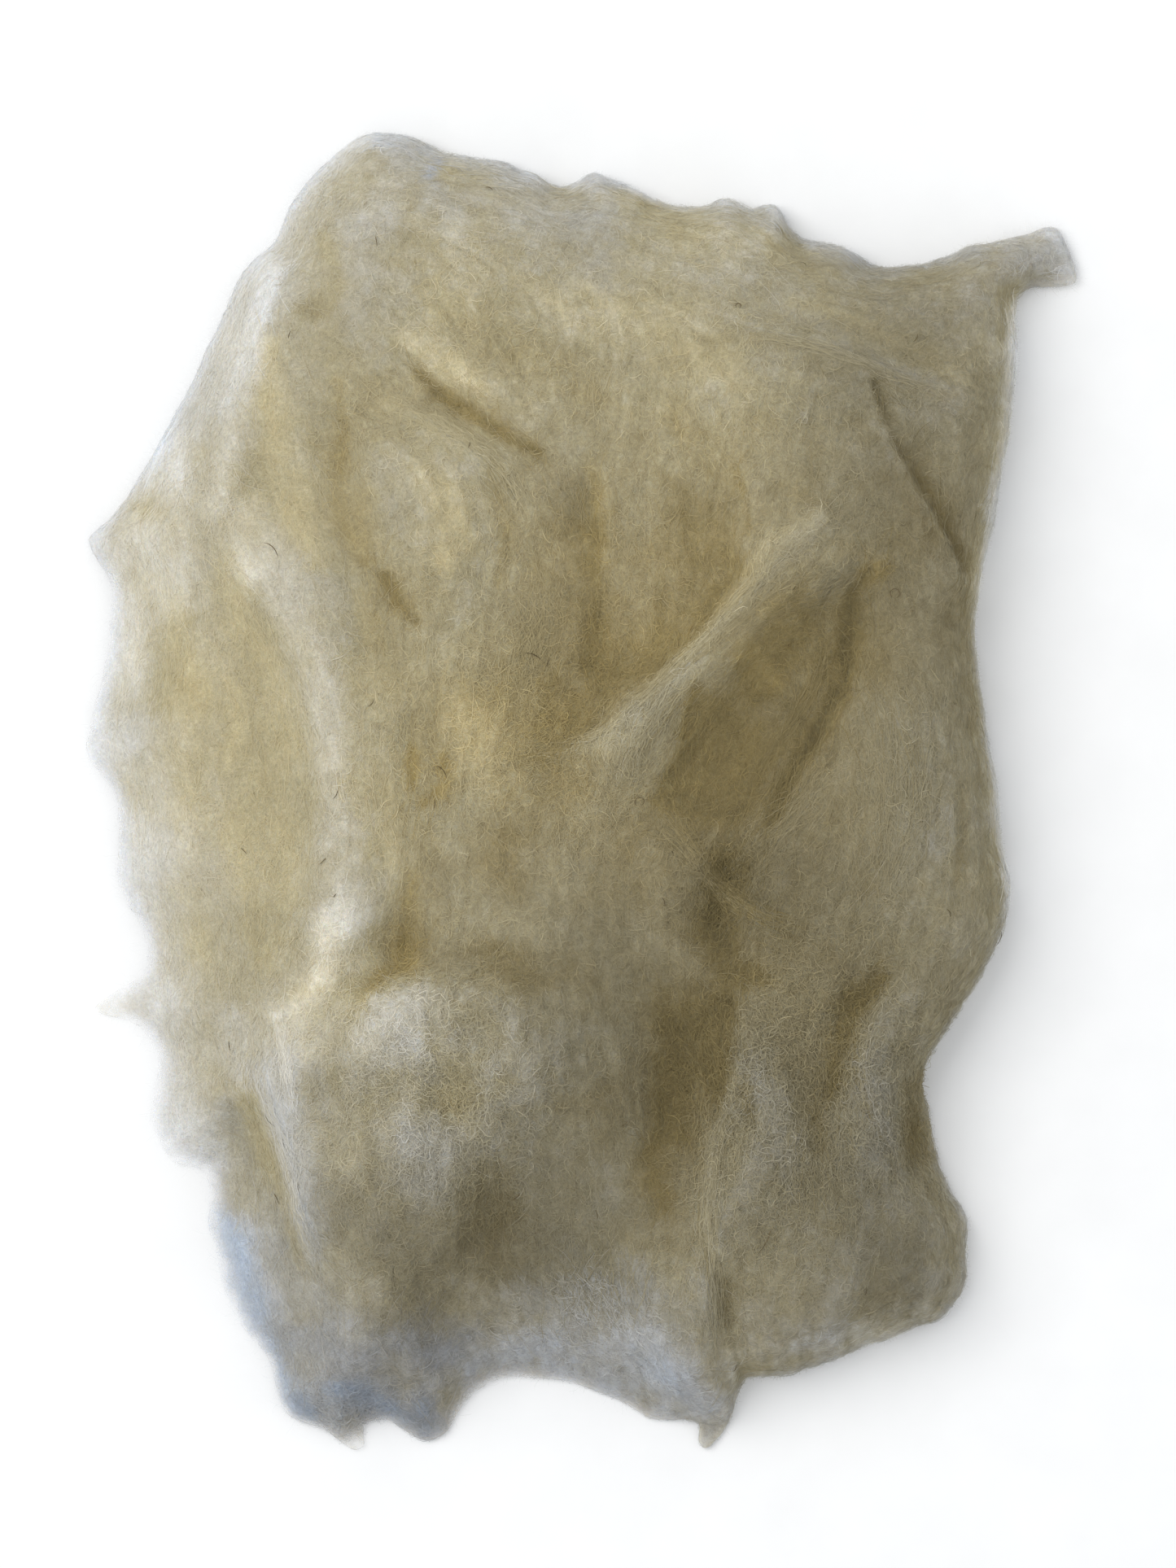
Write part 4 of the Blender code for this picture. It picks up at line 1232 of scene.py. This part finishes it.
def grow(spots, normals, headings, lengths, bend, growth, chance):
    """Centre lines of fibres from these spots: points and normals, a row of steps for each fibre.

    A fibre bends evenly and waves about its heading. It clings to the surface for the first steps
    and then stands free, drooping a little more at each step.
    """
    stride = lengths / growth.steps
    phase = chance.uniform(0, 2 * math.pi, len(spots))
    points, facing = [spots], [normals]
    for step in range(growth.steps):
        sway = growth.wave * np.cos(phase + step * WAVE_STEP)
        headings = turned(headings, normals, bend / growth.steps + sway)
        spots = spots + headings * stride[:, None]
        if step < growth.clinging:
            spots, normals = fleece_surface().nearest(spots)
            headings = along_surface(headings, normals)
        else:
            headings = unit(headings - [0, 0, growth.droop])
        points.append(spots)
        facing.append(normals)
    return np.stack(points, axis=1), np.stack(facing, axis=1)


def flow_headings(spots, normals, disorder, chance):
    """A way along the surface for each fibre: the flow's, or astray by about the disorder."""
    angle = flow_angle(spots) + disorder * chance.standard_normal(len(spots))
    angle += math.pi * chance.integers(0, 2, len(spots))
    return along_surface(level(angle), normals)


def lifted(points, normals, height, arch):
    """The lines raised off the surface, most of all in the middle of each."""
    share = np.linspace(0, 1, points.shape[1])
    rise = height[:, None] + arch[:, None] * np.sin(math.pi * share)
    return points + normals * rise[..., None]


def raised_coat(coat, points, facing, chance, raised=0, fluffiness=0):
    """The coat's lines at their heights above the fleece."""
    count = len(points)
    lift = chance.uniform(*coat.lift, count) + raised
    arch = chance.exponential(coat.arch, count) * (1 + coat.fluffed * fluffiness)
    return lifted(points, facing, lift, arch)


def coat_widths(coat, count, chance):
    return bpy.context.scene.wool_fibres.width / MM * chance.uniform(*coat.widths, count)


def laid_coat(coat, count, length, weight, chance, raised=0):
    """Fibres laid over the fleece where the weight allows: their spots, lines, normals and widths."""
    spots, normals = fleece_surface().spots(count, weight, chance)
    headings = flow_headings(spots, normals, coat.astray - coat.orderly * flow_order(spots), chance)
    lengths = length / MM * chance.uniform(*coat.lengths, count)
    bend = chance.normal(0, coat.bend, count)
    points, facing = grow(spots, normals, headings, lengths, bend, coat.growth, chance)
    points = raised_coat(coat, points, facing, chance, raised, fluff(spots))
    return spots, points, facing, coat_widths(coat, count, chance)


def ribbon_mesh(name, points, normals, width, roll):
    """One mesh of a thin ribbon along each line, narrow at its ends and rolled about the line."""
    count, rows = points.shape[:2]
    normals = turned_skyward(normals)
    along = unit(np.gradient(points, axis=1))
    side = unit(np.cross(along, normals))
    up = np.cross(side, along)
    side = side * np.cos(roll)[:, None, None] + up * np.sin(roll)[:, None, None]
    share = np.abs(np.linspace(-1, 1, rows))
    half = width[:, None] / 2 * (1 - NARROWER_ENDS * share**3)
    edges = np.stack([points - side * half[..., None], points + side * half[..., None]], axis=2)
    edges[..., 2] = np.maximum(edges[..., 2], FLOOR_GAP)
    first = (np.arange(count)[:, None] * rows + np.arange(rows - 1)) * 2
    faces = np.stack([first, first + 1, first + 3, first + 2], axis=-1).reshape(-1, 4)
    mesh = quad_mesh(name, edges.reshape(-1, 3), faces)
    mesh.normals_split_custom_set_from_vertices(np.repeat(normals.reshape(-1, 3), 2, axis=0))
    return mesh


def quad_mesh(name, points, faces):
    mesh = bpy.data.meshes.new(name)
    mesh.vertices.add(len(points))
    mesh.vertices.foreach_set("co", (points * MM).ravel())
    mesh.loops.add(faces.size)
    mesh.loops.foreach_set("vertex_index", faces.ravel().astype(np.int32))
    mesh.polygons.add(len(faces))
    mesh.polygons.foreach_set("loop_start", np.arange(0, faces.size, 4, dtype=np.int32))
    mesh.update(calc_edges=True)
    mesh.shade_smooth()
    return mesh


def fibre_piece(name, points, normals, width, brightness, material, chance):
    """A piece of fibres along these lines, each tinted like the wool below it, its painted light and shade
    too, but for its brightness.
    """
    count, rows = points.shape[:2]
    roll = chance.normal(0, ROLL, count)
    roots = points[:, 0]
    mesh = ribbon_mesh(name, points, normals, width * (1 - FINER_IN_VEILS * thinness(roots)), roll)
    tint = np.clip(wool_tint(roots) * brightness[:, None], 0, BRIGHTEST)
    set_tint(mesh, np.repeat(tint, 2 * rows, axis=0))
    set_thinness(mesh, np.repeat(thinness(points.reshape(-1, 3)), 2))
    finish_piece(added_object(name, mesh), material)


class WOOL_OT_card_fibres(bpy.types.Operator):
    """Lays long fibres along the way the wool was carded"""

    bl_idname = "wool.card_fibres"
    bl_label = "Card the long fibres"

    def execute(self, context):
        settings = context.scene.wool_fibres
        chance = np.random.default_rng(CARDED_SEED)
        centres = fleece_surface().centres
        weight = CARDED_EVERYWHERE + flow_order(centres) + CARDED_ON_STREAKS * streak_map().at(centres)
        weight = np.maximum(weight, FEWEST_CARDED)
        _, points, facing, width = laid_coat(
            CARDED, settings.carded_count, settings.carded_length, weight, chance)
        brightness = chance.normal(*CARDED.bright, len(points))
        fibre_piece("carded_fibres", points, facing, width, brightness, fibre_material(), chance)
        return {"FINISHED"}


class WOOL_OT_curl_fibres(bpy.types.Operator):
    """Strews three coats of short curly fibres over the whole fleece"""

    bl_idname = "wool.curl_fibres"
    bl_label = "Strew the curly fibres"

    def execute(self, context):
        settings = context.scene.wool_fibres
        weight = CURLY_EVERYWHERE + CURLY_IN_FLUFF * fluff(fleece_surface().centres)
        for coat, (name, seed) in enumerate(zip(CURLY_COATS, CURLY_SEEDS)):
            chance = np.random.default_rng(seed)
            spots, points, facing, width = laid_coat(
                CURLY, settings.curly_count, settings.curly_length, weight, chance, COAT_GAP * coat)
            differing = chance.normal(*CURLY.bright, len(points))
            brightness = CURLY_BRIGHTNESS + CURLY_CONTRAST * liveliness(spots) * differing
            fibre_piece(name, points, facing, width, brightness, fibre_material(), chance)
        return {"FINISHED"}


def rounded(path, rounds=3):
    """The path with its corners cut again and again until it runs smoothly."""
    path = np.array(path, float)
    for _ in range(rounds):
        near = 0.75 * path[:-1] + 0.25 * path[1:]
        far = 0.25 * path[:-1] + 0.75 * path[1:]
        path = np.vstack([path[:1], np.stack([near, far], axis=1).reshape(-1, 2), path[-1:]])
    return path


def lock_lines(lock, chance):
    """Centre lines of one lock's fibres: each follows a stretch of the path, a little to one side."""
    path = rounded(lock.path)
    lengths = np.linalg.norm(np.diff(path, axis=0), axis=1)
    travelled = np.concatenate([[0], np.cumsum(lengths)]) / lengths.sum()
    stretch = chance.uniform(*LOCK_STRETCH, lock.count)
    start = chance.uniform(*LOCK_START, lock.count) * (1 - stretch)
    share = np.clip(start[:, None] + stretch[:, None] * np.linspace(0, 1, LOCK_STEPS), 0, 1)
    flat = np.stack([np.interp(share, travelled, path[:, axis]) for axis in (0, 1)], axis=-1)
    # Where a fibre waits at the end of the path, the small term still gives it a direction
    along = unit(np.gradient(flat, axis=1) + 1e-6)
    aside = np.stack([-along[..., 1], along[..., 0]], axis=-1)
    strays = lock.spread * chance.normal(0, LOCK_STRAY, (lock.count, 2))
    phase = chance.uniform(0, LOCK_PHASE, lock.count)
    sway = LOCK_SWAY * np.sin(phase[:, None] + WAVE_STEP * np.arange(LOCK_STEPS))
    drift = (strays[:, 1:] - strays[:, :1]) * np.linspace(0, LOCK_DRIFT, LOCK_STEPS)
    flat = flat + aside * (strays[:, :1] + drift + sway)[..., None]
    flat = flat.reshape(-1, 2)
    points, normals = fleece_surface().nearest(np.column_stack([flat, loft_map().at(flat)]))
    return points.reshape(lock.count, LOCK_STEPS, 3), normals.reshape(lock.count, LOCK_STEPS, 3)


class WOOL_OT_draw_locks(bpy.types.Operator):
    """Draws locks of long fibres over the ridges and across the pits"""

    bl_idname = "wool.draw_locks"
    bl_label = "Draw out the locks"

    def execute(self, context):
        chance = np.random.default_rng(LOCK_SEED)
        lines = [lock_lines(lock, chance) for lock in LOCKS]
        points, facing = (np.concatenate(parts) for parts in zip(*lines))
        points = raised_coat(LOCKED, points, facing, chance)
        width = coat_widths(LOCKED, len(points), chance)
        bright = np.repeat([lock.bright for lock in LOCKS], [lock.count for lock in LOCKS])
        brightness = bright * chance.normal(*LOCKED.bright, len(points))
        fibre_piece("locks", points, facing, width, brightness, fibre_material(), chance)
        return {"FINISHED"}


def outward_from_batt(points):
    """The level way from each point to where the loft falls off."""
    loft = Map(blurred(loft_map().values, SLOPE_BLUR))
    across, up = (
        loft.at(points[:, :2] - reach) - loft.at(points[:, :2] + reach)
        for reach in SLOPE_REACH * np.eye(2)
    )
    return unit(np.column_stack([across, up, np.zeros(len(points))]))


class WOOL_OT_pull_wisps(bpy.types.Operator):
    """Pulls fine wisps out of the torn edges"""

    bl_idname = "wool.pull_wisps"
    bl_label = "Pull out the wisps"

    def execute(self, context):
        settings = context.scene.wool_fibres
        chance = np.random.default_rng(WISP_SEED)
        surface = fleece_surface()
        count = settings.wisp_count
        rim = smoothstep(*STEEP_RIM, 1 - np.abs(surface.normals[:, 2]))
        rim *= surface.centres[:, 2] < HIGHEST_WISP
        weight = rim + WISPS_ON_VEILS * thinness(surface.centres) ** 2
        spots, normals = surface.spots(count, weight, chance)
        angle = chance.normal(0, WISPY.astray, count)
        headings = turned(outward_from_batt(spots), np.tile([0.0, 0.0, 1.0], (count, 1)), angle)
        headings = unit(headings + WISP_RISE * normals)
        lengths = settings.wisp_length / MM * chance.uniform(*WISPY.lengths, count)
        lengths *= WISP_SHARE + WISP_SHARE_ON_VEILS * thinness(spots)
        bend = chance.normal(0, WISPY.bend, count)
        points, facing = grow(spots, normals, headings, lengths, bend, WISPY.growth, chance)
        width = coat_widths(WISPY, count, chance)
        brightness = chance.normal(*WISPY.bright, count)
        fibre_piece("edge_wisps", points, facing, width, brightness, wisp_material(), chance)
        return {"FINISHED"}


class WOOL_OT_scatter_kemp(bpy.types.Operator):
    """Lays the few dark kemp hairs that stray over the fleece"""

    bl_idname = "wool.scatter_kemp"
    bl_label = "Scatter the kemp hairs"

    def execute(self, context):
        chance = np.random.default_rng(KEMP_SEED)
        hairs = np.array(KEMPS, float)
        places, lengths, turns, curls = hairs[:, :2], hairs[:, 2], hairs[:, 3], hairs[:, 4]
        spots, normals = fleece_surface().nearest(np.column_stack([places, loft_map().at(places)]))
        points, facing = grow(
            spots, normals, level(np.radians(turns)), lengths, np.radians(curls), KEMP_GROWTH, chance)
        even = np.ones(len(hairs))
        points = lifted(points, facing, KEMP_LIFT * even, KEMP_ARCH * even)
        width = context.scene.wool_fibres.kemp_width / MM * even
        mesh = ribbon_mesh("kemp_hairs", points, facing, width, 0 * even)
        finish_piece(added_object("kemp_hairs", mesh), kemp_material())
        return {"FINISHED"}


def new_material(name):
    """A new material: its node tree and its Principled shader."""
    material = bpy.data.materials.new(name)
    material.use_nodes = True
    tree = material.node_tree
    return material, tree, tree.nodes["Principled BSDF"]


def feed(tree, made, **inputs):
    """Feeds a node. An input is a value, or the output socket of another node."""
    for name, value in inputs.items():
        number = name[1:]
        socket = made.inputs[int(number)] if number.isdigit() else made.inputs[name.replace("_", " ")]
        if isinstance(value, bpy.types.NodeSocket):
            tree.links.new(value, socket)
        else:
            socket.default_value = value


def node(tree, kind, settings=None, **inputs):
    """A new node with these settings and inputs."""
    made = tree.nodes.new(kind)
    for name, value in (settings or {}).items():
        setattr(made, name, value)
    feed(tree, made, **inputs)
    return made


def math_node(tree, operation, first, second=0.0, clamp=False):
    made = node(tree, "ShaderNodeMath", {"operation": operation, "use_clamp": clamp}, _0=first, _1=second)
    return made.outputs[0]


def ranged(tree, value, low, high, new_low, new_high):
    made = node(
        tree, "ShaderNodeMapRange", None,
        Value=value, From_Min=low, From_Max=high, To_Min=new_low, To_Max=new_high)
    return made.outputs[0]


def object_place(tree):
    return node(tree, "ShaderNodeTexCoord").outputs["Object"]


def painted_tint(tree):
    return node(tree, "ShaderNodeVertexColor", {"layer_name": "tint"}).outputs["Color"]


def painted_thinness(tree):
    return node(tree, "ShaderNodeAttribute", {"attribute_name": "thinness"}).outputs["Fac"]


def noise_node(tree, place, scale, detail, distortion=0.0):
    made = node(
        tree, "ShaderNodeTexNoise", None,
        Vector=place, Scale=scale, Detail=detail, Distortion=distortion)
    return made.outputs[0]


def shaded(tree, colour, shade):
    """The colour times this shade of grey."""
    grey = node(tree, "ShaderNodeCombineColor", None, Red=shade, Green=shade, Blue=shade)
    made = node(
        tree, "ShaderNodeMix", {"data_type": "RGBA", "blend_type": "MULTIPLY"},
        _0=1.0, _6=colour, _7=grey.outputs[0])
    return made.outputs[2]


def fibre_lines(tree, place, scale, stretch, turn):
    """Thin curly lines, 1 on a line and 0 beside it: the contour where a noise crosses its middle."""
    mapping = node(
        tree, "ShaderNodeMapping", None,
        Vector=place, Rotation=(0, 0, math.radians(turn)), Scale=(1, stretch, 1))
    waves = noise_node(tree, mapping.outputs[0], scale, 1.0, 0.6)
    off_middle = math_node(tree, "ABSOLUTE", math_node(tree, "SUBTRACT", waves, 0.5))
    return ranged(tree, off_middle, 0, LINE_WIDTH, 1, 0)


def fleece_material():
    material, tree, shader = new_material("fleece")
    place = object_place(tree)
    lines = 0.0
    for row in FIBRE_LINES:
        lines = math_node(tree, "MAXIMUM", lines, fibre_lines(tree, place, *row))
    mottle = noise_node(tree, place, 900.0, 3.0)
    shade = ranged(tree, mottle, 0.3, 0.7, 0.80, 1.0)
    shade = math_node(tree, "ADD", shade, math_node(tree, "MULTIPLY", lines, 0.2))
    holes = ranged(tree, noise_node(tree, place, 260.0, 6.0), 0.35, 0.65, 1.15, 0.75)
    see_through = math_node(tree, "MULTIPLY", painted_thinness(tree), holes)
    height = math_node(tree, "ADD", lines, mottle)
    bump = node(tree, "ShaderNodeBump", None, Strength=0.25, Distance=0.2 * MM, Height=height)
    feed(
        tree, shader, Base_Color=shaded(tree, painted_tint(tree), shade),
        Alpha=math_node(tree, "SUBTRACT", 1.0, see_through, clamp=True), Normal=bump.outputs[0],
        Roughness=0.95, Specular_IOR_Level=0.15, Sheen_Weight=0.25, Sheen_Roughness=0.6,
        Subsurface_Weight=0.8, Subsurface_Radius=(1.0, 0.8, 0.55), Subsurface_Scale=8 * MM)
    return material


@functools.lru_cache(maxsize=None)
def fibre_material():
    material, tree, shader = new_material("wool_fibres")
    alpha = ranged(tree, painted_thinness(tree), 0, 1, 0.9, 0.24)
    feed(
        tree, shader, Base_Color=painted_tint(tree), Alpha=alpha,
        Roughness=0.8, Specular_IOR_Level=0.2, Sheen_Weight=0.2)
    return material


def wisp_material():
    material, tree, shader = new_material("wool_wisps")
    feed(
        tree, shader, Base_Color=painted_tint(tree), Alpha=0.5,
        Roughness=0.8, Specular_IOR_Level=0.2)
    return material


def kemp_material():
    material, tree, shader = new_material("kemp_hair")
    colour = (*bpy.context.scene.wool_colours.kemp, 1.0)
    shade = ranged(tree, noise_node(tree, object_place(tree), 300.0, 1.0), 0.3, 0.7, 0.6, 1.6)
    feed(tree, shader, Base_Color=shaded(tree, colour, shade), Roughness=0.6, Specular_IOR_Level=0.1)
    return material


def floor_material():
    material, tree, shader = new_material("pale_floor")
    colour = (*bpy.context.scene.wool_colours.floor, 1.0)
    shade = ranged(tree, noise_node(tree, object_place(tree), 40.0, 4.0), 0.3, 0.7, 0.985, 1.015)
    feed(tree, shader, Base_Color=shaded(tree, colour, shade), Roughness=0.9)
    return material


def add_floor():
    size = bpy.context.scene.wool_studio.floor_size
    bpy.ops.object.select_all(action="DESELECT")
    bpy.ops.mesh.primitive_plane_add(size=size, location=(0, 0, -FLOOR_DROP * MM))
    floor = bpy.context.object
    floor.name = "floor"
    floor.data.materials.append(floor_material())


def add_camera():
    """Hangs the camera straight over the middle of the photo's frame."""
    settings = bpy.context.scene.wool_studio
    camera = bpy.data.cameras.new("camera")
    camera.sensor_fit = "VERTICAL"
    camera.sensor_width = camera.sensor_height = SENSOR_SIZE
    seen = PHOTO_SIZE[1] * settings.pixel
    camera.lens = camera.sensor_height * settings.camera_height / seen
    holder = added_object("camera", camera)
    holder.location = (PHOTO_MIDDLE[0] * MM, PHOTO_MIDDLE[1] * MM, settings.camera_height)
    bpy.context.scene.camera = holder


def add_window():
    """A soft light that faces the batt and isn't seen itself."""
    light = bpy.data.lights.new("window", "AREA")
    light.shape = "RECTANGLE"
    light.size, light.size_y = WINDOW_SIZE
    light.energy = bpy.context.scene.wool_studio.window_power
    light.color = WINDOW_COLOUR
    holder = added_object("window", light)
    holder.location = WINDOW_PLACE
    holder.rotation_euler = (-Vector(WINDOW_PLACE)).to_track_quat("-Z", "Y").to_euler()
    holder.visible_camera = False


def set_sky():
    world = bpy.data.worlds.new("daylight")
    world.use_nodes = True
    background = world.node_tree.nodes["Background"]
    background.inputs["Color"].default_value = SKY_COLOUR
    background.inputs["Strength"].default_value = bpy.context.scene.wool_studio.sky_strength
    bpy.context.scene.world = world


class WOOL_OT_set_studio(bpy.types.Operator):
    """Sets the pale floor, the camera and the soft daylight from the left"""

    bl_idname = "wool.set_studio"
    bl_label = "Set the studio"

    def execute(self, context):
        add_floor()
        add_camera()
        add_window()
        set_sky()
        context.scene.view_settings.view_transform = "Standard"
        return {"FINISHED"}


OPERATORS = (
    WOOL_OT_lay_fleece,
    WOOL_OT_card_fibres,
    WOOL_OT_curl_fibres,
    WOOL_OT_draw_locks,
    WOOL_OT_pull_wisps,
    WOOL_OT_scatter_kemp,
    WOOL_OT_set_studio,
)


class WOOL_PT_batt(bpy.types.Panel):
    """Lists the steps that dress the batt, and their sizes and colours"""

    bl_idname = "WOOL_PT_batt"
    bl_label = "Carded wool batt"
    bl_space_type = "VIEW_3D"
    bl_region_type = "UI"
    bl_category = "Wool"

    def draw(self, context):
        for settings in SETTINGS:
            group = getattr(context.scene, settings)
            for name in group.bl_rna.properties.keys():
                if name not in ("rna_type", "name"):
                    self.layout.prop(group, name)
        for operator in OPERATORS:
            self.layout.operator(operator.bl_idname)


SETTINGS = {
    "wool_fleece": FleeceSettings,
    "wool_fibres": FibreSettings,
    "wool_colours": ColourSettings,
    "wool_studio": StudioSettings,
}


def register():
    for name, group in SETTINGS.items():
        bpy.utils.register_class(group)
        setattr(bpy.types.Scene, name, PointerProperty(type=group))
    for operator in OPERATORS:
        bpy.utils.register_class(operator)
    bpy.utils.register_class(WOOL_PT_batt)


def unregister():
    bpy.utils.unregister_class(WOOL_PT_batt)
    for operator in reversed(OPERATORS):
        bpy.utils.unregister_class(operator)
    for name, group in SETTINGS.items():
        delattr(bpy.types.Scene, name)
        bpy.utils.unregister_class(group)


def main():
    register()
    bpy.ops.wool.lay_fleece()
    bpy.ops.wool.card_fibres()
    bpy.ops.wool.curl_fibres()
    bpy.ops.wool.draw_locks()
    bpy.ops.wool.pull_wisps()
    bpy.ops.wool.scatter_kemp()
    bpy.ops.wool.set_studio()


if __name__ == "__main__":
    main()
